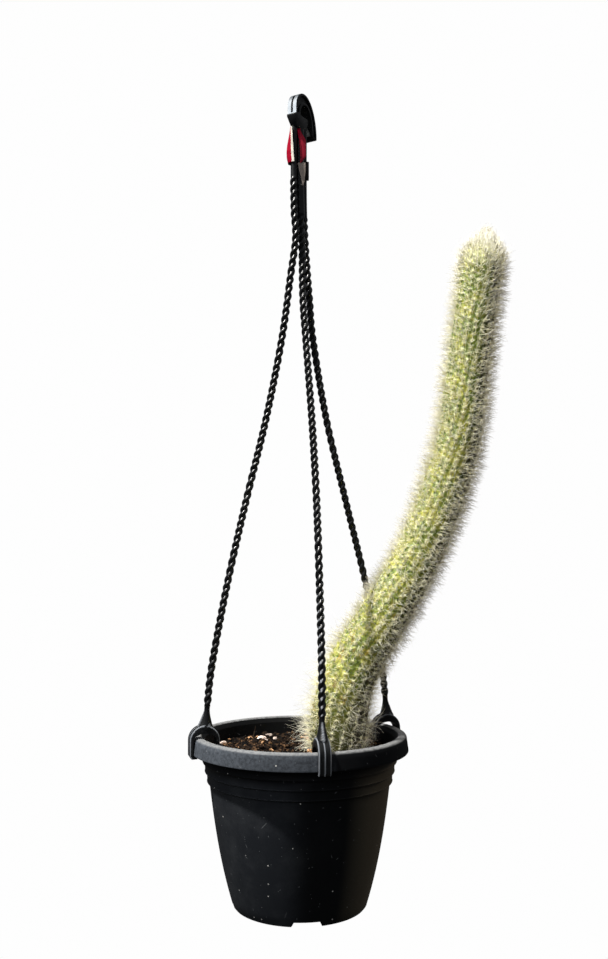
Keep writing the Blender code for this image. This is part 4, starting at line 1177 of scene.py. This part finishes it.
def skinMaterial():
    look = skinLook
    material, tree, shader, coords = newMaterial("cactusSkin")
    tissue = useGroup(tree, mottle, coords, look["scales"])
    blend = maths(tree, "ADD", times(tree, tissue["Patches"], look["patchShare"]),
                  times(tree, tissue["Flecks"], look["fleckShare"]))
    blend = maths(tree, "ADD", blend, heightSpread(tree, coords, *look["lowYellow"]))
    blend = maths(tree, "ADD", blend, times(tree, attributeValue(tree, "areole"), look["areoleShare"]))
    colour = mixColour(tree, spread(tree, blend, *look["yellowing"]), look["green"], look["yellow"])
    browned = spread(tree, noiseValue(tree, coords, *look["brownNoise"]), *look["browned"])
    old = times(tree, heightSpread(tree, coords, *look["oldPart"]), browned)
    groove = spread(tree, attributeValue(tree, "crest"), *look["creaseShade"])
    shadedGap = spread(tree, attributeValue(tree, "shadedGap"), *look["gapShade"])
    shadedGap = times(tree, shadedGap, spread(tree, tissue["Patches"], *look["gapShadePatches"]))
    speck = spread(tree, noiseValue(tree, coords, *look["speckNoise"]), *look["specks"])
    # each layer lies over the ones before it: painted shade darkens the rib valleys and the gaps between the
    # tubercles, and dark specks stand in for the shadows between the hairs; the whole foot is duller, painted
    # shade turns the side away from the key light dark brown, and the tip is pale
    layers = (
        (old, "ochre"), (maths(tree, "MAXIMUM", groove, shadedGap), "groove"), (speck, "groove"),
        (heightSpread(tree, coords, *look["footPart"]), "base"),
        (times(tree, attributeValue(tree, "skinShadeSide"), look["skinShadeShare"]), "skinShadeSide"),
        (heightSpread(tree, coords, *look["youngPart"]), "young"),
    )
    for share, key in layers:
        colour = mixColour(tree, share, colour, look[key])
    rough = spread(tree, tissue["Fine"], *look["roughness"])
    plug(tree, shader, {"Base Color": colour, "Roughness": rough})
    bump(tree, shader, tissue["Fine"], look["bump"], look["bumpHeight"])
    return material


def ribPhase(turn):
    rib = turn / math.tau * stemLook["ribs"]
    return rib, rib - math.floor(rib + 0.5)


def areoleOffset(rib):
    return 0.5 * (round(rib) % 2)


def makeStem():
    look = stemLook
    route, lengths = stemPath()
    total = lengths[-1]
    corners = look["ribs"] * look["perRib"]
    kept = [i for i, length in enumerate(lengths) if length > look["meshStart"] and total - length > 0.02]
    frames = framesAlong(route)
    stations = [frames[i] for i in kept]

    def ribFacts(step, corner):
        rib, phase = ribPhase(math.tau * corner / corners)
        crest = math.cos(math.pi * phase) ** 2
        beat = math.cos(math.tau * (lengths[kept[step]] / look["areoleSpacing"] + areoleOffset(rib)))
        return crest, 0.5 + 0.5 * beat

    def shape(step, corner):
        length = lengths[kept[step]]
        turn = math.tau * corner / corners + look["twist"] * length
        wide = stemRadius(length, total)
        crest, beat = ribFacts(step, corner)
        scale = min(1.0, wide / look["topRadius"]) * blendStep(0.0, look["dome"], total - length)
        radius = wide - scale * (look["ribDepth"] * (1 - crest) + look["tubercle"] * crest * (1 - beat))
        return radius * mm * math.cos(turn), radius * mm * math.sin(turn)

    bm = bmesh.new()
    sweep(bm, corners, shape, stations)
    layers = [bm.verts.layers.float.new(name) for name in ("crest", "areole", "shadedGap", "skinShadeSide")]
    order, along = bm.verts.layers.int["order"], bm.verts.layers.float["along"]
    for vert in bm.verts:
        step = round(vert[along] * (len(stations) - 1))
        crest, beat = ribFacts(step, vert[order])
        outward = (vert.co - stations[step][0]).normalized()
        # painted shade: the side away from the key light is darkened brown between its tubercles
        skinShadeSide = blendStep(0.4, 0.9, outward.dot(Vector(look["awayFromKeyLight"]))) * (1 - 0.45 * crest * beat)
        for layer, value in zip(layers, (crest, crest * beat, crest * (1 - beat), skinShadeSide)):
            vert[layer] = value
    bm.verts.layers.int.remove(order)
    stem = meshObject(bm, "stemSkin", skinMaterial())
    mountPiece(stem, "cactus_skin", "stem", sharp=80)
    return route, lengths, frames


hairLook = {
    "variants": 14, "blend": 10,
    # stretches of the stem: where each starts, its star of short hairs and its long hairs, both as
    # how many, how long and how thick, then how the hairs stand
    "stretches": {
        "low": {"start": 0, "short": (7, (1.4, 2.6), 0.12), "long": (8, (5.0, 9.8), 0.09),
                "spread": 1.15, "lean": 0.0, "curl": 0.75, "steps": 4, "fade": 0.4},
        "middle": {"start": 95, "short": (11, (1.6, 2.8), 0.20), "long": (10, (5.4, 10.0), 0.16),
                   "spread": 0.75, "lean": 0.05, "curl": 0.20, "steps": 2, "fade": 1.0},
        "upper": {"start": 200, "short": (11, (1.6, 2.7), 0.20), "long": (10, (5.8, 10.4), 0.165),
                  "spread": 0.65, "lean": 0.08, "curl": 0.10, "steps": 2, "fade": 1.0},
        "high": {"start": 300, "short": (11, (1.6, 2.7), 0.20), "long": (9, (5.8, 10.2), 0.165),
                 "spread": 0.65, "lean": 0.12, "curl": 0.10, "steps": 2, "fade": 0.9},
        "crown": {"start": 390, "short": (8, (2.2, 3.2), 0.17), "long": (8, (6.0, 9.0), 0.16),
                  "spread": 0.5, "lean": 0.6, "curl": 0.10, "steps": 2, "fade": 0.6},
    },
    "loose": 420, "looseLength": (10.0, 17.0), "looseSteps": 7, "strayRadius": 0.13,
    "skirt": 620, "skirtLength": (7.5, 12.5), "skirtSteps": 5, "skirtReach": (28, 105),
    "tipHairs": 1200, "tipReach": 24.0, "tipLength": (7.2, 9.6), "tipRadius": 0.15, "tipSteps": 2,
    "rootSpread": 2.0, "shortRootSpread": 0.4, "taper": 0.85, "batch": 40,
    "felt": 0.6, "feltShapes": 4, "feltColour": (0.92, 0.88, 0.55), "feltRoughness": 0.9,
    "feltScales": {"Patch Scale": 90.0, "Fleck Scale": 900.0},
    "root": (0.92, 0.86, 0.42), "tip": (0.95, 0.92, 0.72), "longTip": (0.37, 0.34, 0.25),
    "pale": (0.94, 0.92, 0.84), "shaded": (0.30, 0.27, 0.13),
    "scales": {"Patch Scale": 70.0, "Fleck Scale": 260.0}, "toTip": (0.0, 0.75),
    "fading": (0.25, 0.75, 0.3, 1.0), "crownPale": (325, 345, 0.0, 0.4), "fleckShare": 0.35,
    "speckNoise": (1000.0, 2.0, 0.6), "specks": (0.50, 0.40, 0.0, 0.5), "roughness": (0.3, 0.7, 0.42, 0.6),
    "glow": 0.25, "glowRadius": (1.0, 0.9, 0.7), "glowScale": 3 * mm,
}


def hairMaterial():
    look = hairLook
    material, tree, shader, coords = newMaterial("cactusHair")
    tissue = useGroup(tree, mottle, coords, look["scales"])
    along = attributeValue(tree, "along")
    colour = mixColour(tree, spread(tree, along, *look["toTip"]), look["root"], look["tip"])
    faded = times(tree, attributeValue(tree, "long"), spread(tree, along, *look["fading"]))
    # the long hairs darken towards their tips; painted light keeps them pale where their tufts face the front
    faded = times(tree, faded, maths(tree, "SUBTRACT", 1.0, attributeValue(tree, "shade")))
    crown = heightSpread(tree, coords, *look["crownPale"])
    light = maths(tree, "ADD", times(tree, tissue["Flecks"], look["fleckShare"]), crown, True)
    # painted shade: dark specks on the hairs stand in for the shadows between them
    speck = spread(tree, noiseValue(tree, coords, *look["speckNoise"]), *look["specks"])
    for share, key in ((light, "pale"), (faded, "longTip"), (speck, "shaded")):
        colour = mixColour(tree, share, colour, look[key])
    plug(tree, shader, {
        "Base Color": colour, "Roughness": spread(tree, tissue["Fine"], *look["roughness"]),
        "Subsurface Weight": look["glow"], "Subsurface Radius": look["glowRadius"],
        "Subsurface Scale": look["glowScale"],
    })
    return material


def feltMaterial():
    look = hairLook
    material, tree, shader, coords = newMaterial("areoleFelt")
    flecks = useGroup(tree, mottle, coords, look["feltScales"])
    darker = [value * 0.5 for value in look["feltColour"]]
    colour = mixColour(tree, flecks["Flecks"], darker, look["feltColour"])
    plug(tree, shader, {"Base Color": colour, "Roughness": look["feltRoughness"]})
    return material


def addHair(bm, root, heading, length, bend, radius, steps, long):
    longLayer = bm.verts.layers.float.get("long") or bm.verts.layers.float.new("long")
    known = len(bm.verts)
    aside = heading.cross(bend if bend.length > 1e-6 else Vector((0.3, 0.9, 0.1)))
    if aside.length < 1e-6:
        aside = heading.orthogonal()
    aside.normalize()
    stations = []
    for i in range(steps + 1):
        t = i / steps
        centre = root + (heading * t + bend * t * t) * length
        facing = (heading + bend * 2 * t).normalized()
        stations.append((centre, aside, facing.cross(aside)))
    taper = [1 - hairLook["taper"] * (i / steps) ** 1.5 for i in range(steps + 1)]

    def shape(step, corner):
        turn = math.tau * corner / 3
        return radius * taper[step] * math.cos(turn), radius * taper[step] * math.sin(turn)

    sweep(bm, 3, shape, stations)
    bm.verts.ensure_lookup_table()
    for vert in bm.verts[known:]:
        vert[longLayer] = long


def singleHairs(name, material, hairs):
    # small batches keep the mesh operators quick
    whole, size = bmesh.new(), hairLook["batch"]
    for first in range(0, len(hairs), size):
        bm = bmesh.new()
        for hair in hairs[first:first + size]:
            addHair(bm, *hair)
        batch = bpy.data.meshes.new("batch")
        bm.to_mesh(batch)
        bm.free()
        whole.from_mesh(batch)
        bpy.data.meshes.remove(batch)
    mountPiece(meshObject(whole, name, material), "cactus_skin", sharp=180)


def hairTuft(draw, name, material, facts):
    # one areole's hairs: +Z out of the skin, +Y up the stem
    look = hairLook
    bm = bmesh.new()
    shorts, longs = facts["short"][0], facts["long"][0]
    for number in range(shorts + longs):
        central = number >= shorts
        _, lengths, thickness = facts["long" if central else "short"]
        if central:
            turn, tilt = draw.uniform(0, math.tau), facts["spread"] * math.sqrt(draw.random())
        else:
            turn, tilt = math.tau * (number + draw.uniform(-0.3, 0.3)) / shorts, draw.uniform(1.05, 1.4)
        flat = math.sin(tilt)
        heading = Vector((flat * math.cos(turn), flat * math.sin(turn) + facts["lean"], math.cos(tilt)))
        heading = heading.normalized()
        loose = Vector((draw.uniform(-1, 1), draw.uniform(-1, 1) + 0.25, draw.uniform(-0.6, 0.6)))
        bend = (loose - heading * loose.dot(heading)) * facts["curl"]
        length = draw.uniform(*lengths) * mm
        radius = thickness * draw.uniform(0.8, 1.2) * mm
        apart = look["rootSpread" if central else "shortRootSpread"]
        root = Vector((draw.uniform(-apart, apart), draw.uniform(-apart, apart), -0.3)) * mm
        addHair(bm, root, heading, length, bend, radius, facts["steps"], facts["fade"] * central)
    bmesh.ops.translate(bm, verts=bm.verts, vec=-rimCentre)
    return meshObject(bm, name, material)


def stemPlace(stem, length, turn):
    # a point of the skin at a length along the stem, with the ways out of it and up it
    route, lengths, frames = stem
    low, high = 0, len(lengths) - 1
    while high - low > 1:
        middle = (low + high) // 2
        if lengths[middle] < length:
            low = middle
        else:
            high = middle
    heading = (route[min(high + 1, len(route) - 1)] - route[max(high - 2, 0)]).normalized()
    point, side, across = frames[high]
    total = lengths[-1]
    radius = stemRadius(length, total)
    out = math.cos(turn) * side + math.sin(turn) * across
    dome = max(0.0, 1 - (total - length) / stemLook["dome"])
    normal = (out * (1 - dome ** 1.6) + heading * dome ** 1.3).normalized()
    upward = heading - normal * heading.dot(normal)
    if upward.length < 1e-3:
        upward = -out
    return {"point": point + out * radius * mm, "normal": normal, "up": upward.normalized(),
            "length": length, "dome": dome, "axis": heading, "out": out, "radius": radius}


def areolePlaces(stem):
    look = stemLook
    total = stem[1][-1]
    firstRow = math.ceil((look["foot"] - 6) / look["areoleSpacing"])
    places = []
    for row in range(firstRow, int(total / look["areoleSpacing"]) + 1):
        for rib in range(look["ribs"]):
            length = (row - areoleOffset(rib)) * look["areoleSpacing"]
            if length > total - 1.2:
                continue
            place = stemPlace(stem, length, math.tau * rib / look["ribs"] + look["twist"] * length)
            if place["radius"] > look["topRadius"] * 0.45 or rib % 2 == 0:
                places.append(place)
    return places


def turnTo(normal, upward, spin=0.0):
    aside = upward.cross(normal).normalized()
    basis = Matrix((aside, upward, normal)).transposed()
    return basis @ Matrix.Rotation(spin, 3, "Z")


def anyWay(draw, size=1.0):
    return Vector([draw.uniform(-size, size) for _ in range(3)])


def makeTipHairs(stem, material, draw):
    # long hairs that close over the growing tip and meet in a point
    look = hairLook
    total = stem[1][-1]
    hairs = []
    for _ in range(look["tipHairs"]):
        share = draw.random() ** 1.3
        place = stemPlace(stem, total - 0.1 - share * look["tipReach"], draw.uniform(0, math.tau))
        stray = anyWay(draw)
        heading = place["normal"] * (0.12 + 0.75 * share) + place["axis"] * (1.2 - 0.7 * share) + stray * 0.15
        bend = stray * 0.10 - place["out"] * 0.4 * (1 - share)
        length = draw.uniform(*look["tipLength"]) * (1.3 - 0.5 * share) * mm
        # painted light: tip hairs facing the front keep pale tips
        long = 0.95 - 0.75 * blendStep(0.1, 0.7, -place["out"].y) * blendStep(0.08, 0.35, share)
        hairs.append((place["point"], heading.normalized(), length, bend, look["tipRadius"] * mm,
                      look["tipSteps"], long))
    singleHairs("tipHairs", material, hairs)


def makeStretch(region, facts, members, material, draw):
    # tufts on every areole of one stretch of the stem
    variants = hairLook["variants"]
    templates = [hairTuft(draw, f"{region}Tuft{i}", material, facts) for i in range(variants)]
    spots = []
    for place in members:
        grow = draw.uniform(0.88, 1.12) * (1 + 0.15 * place["dome"])
        turned = turnTo(place["normal"], place["up"], draw.uniform(-0.6, 0.6))
        jitter = anyWay(draw, 0.4) * mm
        # painted light: tufts facing the front, less so on the right, get a value that keeps their long hairs
        # pale
        lit = 0.8 * blendStep(0.3, 0.8, -place["out"].y) * (1 - 0.5 * blendStep(0.2, 0.6, place["out"].x))
        spots.append((place["point"] + jitter, turned, grow, draw.randrange(variants), lit))
    mountPiece(scatter(region + "Hairs", spots, templates), "cactus_skin", sharp=180)


def strayHairs(draw, places, lower):
    # long curled hairs that stand off the stem, most of them low down
    look = hairLook
    hairs = []
    for _ in range(look["loose"]):
        place = draw.choice(places if draw.random() < 0.35 else lower)
        normal, upward = place["normal"], place["up"]
        aside = upward.cross(normal)
        heading = normal + upward * draw.uniform(-0.2, 1.0) + aside * draw.uniform(-0.9, 0.9)
        heading = heading.normalized()
        loose = anyWay(draw)
        bend = (loose - heading * loose.dot(heading)) * 0.8 - normal * 0.35
        length = draw.uniform(*look["looseLength"]) * mm
        hairs.append((place["point"], heading, length, bend, look["strayRadius"] * mm,
                      look["looseSteps"], 0.0))
    return hairs


def skirtHairs(draw, places):
    # a skirt of hairs on the left of the foot
    look = hairLook
    low, high = look["skirtReach"]
    foot = [place for place in places if low < place["length"] < high and place["out"].x < -0.3]
    hairs = []
    for _ in range(look["skirt"]):
        place = draw.choice(foot)
        normal, upward = place["normal"], place["up"]
        aside = upward.cross(normal)
        heading = normal + upward * draw.uniform(-0.4, 0.5) + aside * draw.uniform(-0.5, 0.5)
        bend = Vector((draw.uniform(-0.6, 0.6), draw.uniform(-0.6, 0.6), draw.uniform(-0.8, 0.5)))
        length = draw.uniform(*look["skirtLength"]) * mm
        hairs.append((place["point"], heading.normalized(), length, bend, look["strayRadius"] * mm,
                      look["skirtSteps"], draw.uniform(0.2, 0.8)))
    return hairs


def makeFelts(draw, places):
    look = hairLook
    felt, shapes = feltMaterial(), look["feltShapes"]
    templates = [rockBlob(draw, look["felt"], 0.7, felt, f"felt{i}") for i in range(shapes)]
    spots = []
    for place in places:
        if place["dome"] < 0.2:
            turned = turnTo(place["normal"], place["up"])
            spots.append((place["point"], turned, draw.uniform(0.8, 1.2), draw.randrange(shapes), 0.5))
    mountPiece(scatter("areoleFelts", spots, templates), "cactus_skin", sharp=60)


def makeHairs(*stem):
    look = hairLook
    draw = random.Random(8)
    material = hairMaterial()
    places = areolePlaces(stem)
    print("areoles", len(places), "stem length", stem[1][-1])
    makeTipHairs(stem, material, draw)
    for place in places:
        # the stretches run into each other
        place["mixed"] = max(0, place["length"] + draw.uniform(-look["blend"], look["blend"]))
    starts = [facts["start"] for facts in look["stretches"].values()] + [math.inf]
    regions = {}
    for (region, facts), low, high in zip(look["stretches"].items(), starts, starts[1:]):
        regions[region] = [place for place in places if low <= place["mixed"] < high]
        makeStretch(region, facts, regions[region], material, draw)
    hairs = strayHairs(draw, places, regions["low"] + regions["middle"])
    hairs += skirtHairs(draw, places)
    singleHairs("looseHairs", material, hairs)
    makeFelts(draw, places)


# Camera, light and floor

studioLook = {
    "camera": (3.0, -690.0, 126.1), "focalPixels": 976.0, "picture": (608, 959), "horizonRow": 554.0,
    "sensor": 36,
    # each panel: azimuth, elevation, distance, size, power, colour
    "panels": {
        "keyPanel": (-152, 60, 3.0, 0.10, 265.0, (1.0, 0.975, 0.93)),
        "frontPanel": (-118, 26, 2.6, 1.1, 35.0, (0.99, 0.995, 1.0)),
        "warmPanel": (36, 16, 2.2, 0.3, 26.0, (1.0, 0.86, 0.70)),
    },
    "above": (0.38, 0.39, 0.41), "around": (0.08, 0.082, 0.088), "floor": 0.015, "white": 0.99,
}


def makeCamera():
    look = studioLook
    camera = bpy.data.cameras.new("photoCamera")
    _, height = look["picture"]
    camera.sensor_fit = "VERTICAL"
    camera.sensor_height = look["sensor"]
    camera.lens = look["sensor"] * look["focalPixels"] / height
    camera.shift_y = (look["horizonRow"] - height / 2) / height
    camera.clip_start = 0.01
    holder = bpy.data.objects.new("photoCamera", camera)
    holder.location = rimCentre + at(*look["camera"])
    holder.rotation_euler = (math.pi / 2, 0, 0)
    bpy.context.scene.collection.objects.link(holder)
    bpy.context.scene.camera = holder
    bpy.context.scene.view_settings.view_transform = "Standard"


def makePanels():
    middle = rimCentre + at(40, 0, 100)
    for name, (azimuth, elevation, distance, size, power, colour) in studioLook["panels"].items():
        light = bpy.data.lights.new(name, "AREA")
        light.shape = "DISK"
        light.size = size
        light.energy = power
        light.color = colour
        panel = bpy.data.objects.new(name, light)
        turn, rise = math.radians(azimuth), math.radians(elevation)
        offset = Vector((math.cos(rise) * math.cos(turn), math.cos(rise) * math.sin(turn), math.sin(rise)))
        panel.location = middle + offset * distance
        panel.rotation_euler = (-offset).to_track_quat("-Z", "Y").to_euler()
        panel.visible_glossy = name == "keyPanel"
        bpy.context.scene.collection.objects.link(panel)


def whiteToCamera(tree, glowKind, otherwise):
    seen = node(tree, "LightPath").outputs["Is Camera Ray"]
    glow = node(tree, glowKind, {"Color": (1, 1, 1, 1), "Strength": studioLook["white"]}).outputs[0]
    return node(tree, "MixShader", {0: seen, 1: otherwise, 2: glow}).outputs[0]


def makeRoom():
    # the camera sees white, and the pieces are lit by a grey sky
    look = studioLook
    world = bpy.data.worlds.new("whiteRoom")
    bpy.context.scene.world = world
    world.use_nodes = True
    tree = world.node_tree
    tree.nodes.clear()
    direction = tree.nodes.new("ShaderNodeTexCoord").outputs["Generated"]
    rise = node(tree, "SeparateXYZ", {0: direction}).outputs["Z"]
    sky = mixColour(tree, spread(tree, rise, 0.0, 0.8), look["around"], look["above"])
    around = node(tree, "Background", {"Color": sky, "Strength": 1.0}).outputs[0]
    node(tree, "OutputWorld", {"Surface": whiteToCamera(tree, "Background", around)})


def makeFloor():
    # dark to the pieces, so that it throws no light up, and white to the camera
    dark = studioLook["floor"]
    bm = bmesh.new()
    bmesh.ops.create_circle(bm, cap_ends=True, radius=9.0, segments=64)
    bmesh.ops.translate(bm, verts=bm.verts, vec=at(0, 0, -470))
    material = bpy.data.materials.new("paleFloor")
    material.use_nodes = True
    tree = material.node_tree
    shader = tree.nodes["Principled BSDF"]
    plug(tree, shader, {"Base Color": (dark, dark, dark, 1), "Roughness": 1.0})
    mixed = whiteToCamera(tree, "Emission", shader.outputs[0])
    plug(tree, tree.nodes["Material Output"], {"Surface": mixed})
    meshObject(bm, "floor", material)


makeCamera()
makePanels()
makeRoom()
makeFloor()
makePot()
strandPlastic = blackPlastic("strandPlastic", strandLook["plastic"])
ridgeHighlightPlastic = blackPlastic("ridgeHighlightPlastic", {**strandLook["plastic"], **strandLook["edge"]})
for strandName, strandFacts in strandRoutes.items():
    makeStrand(strandName, strandFacts, strandPlastic, ridgeHighlightPlastic)
makeNeckWeb()
makeHook()
makeLabel()
makeSoil()
makeHairs(*makeStem())
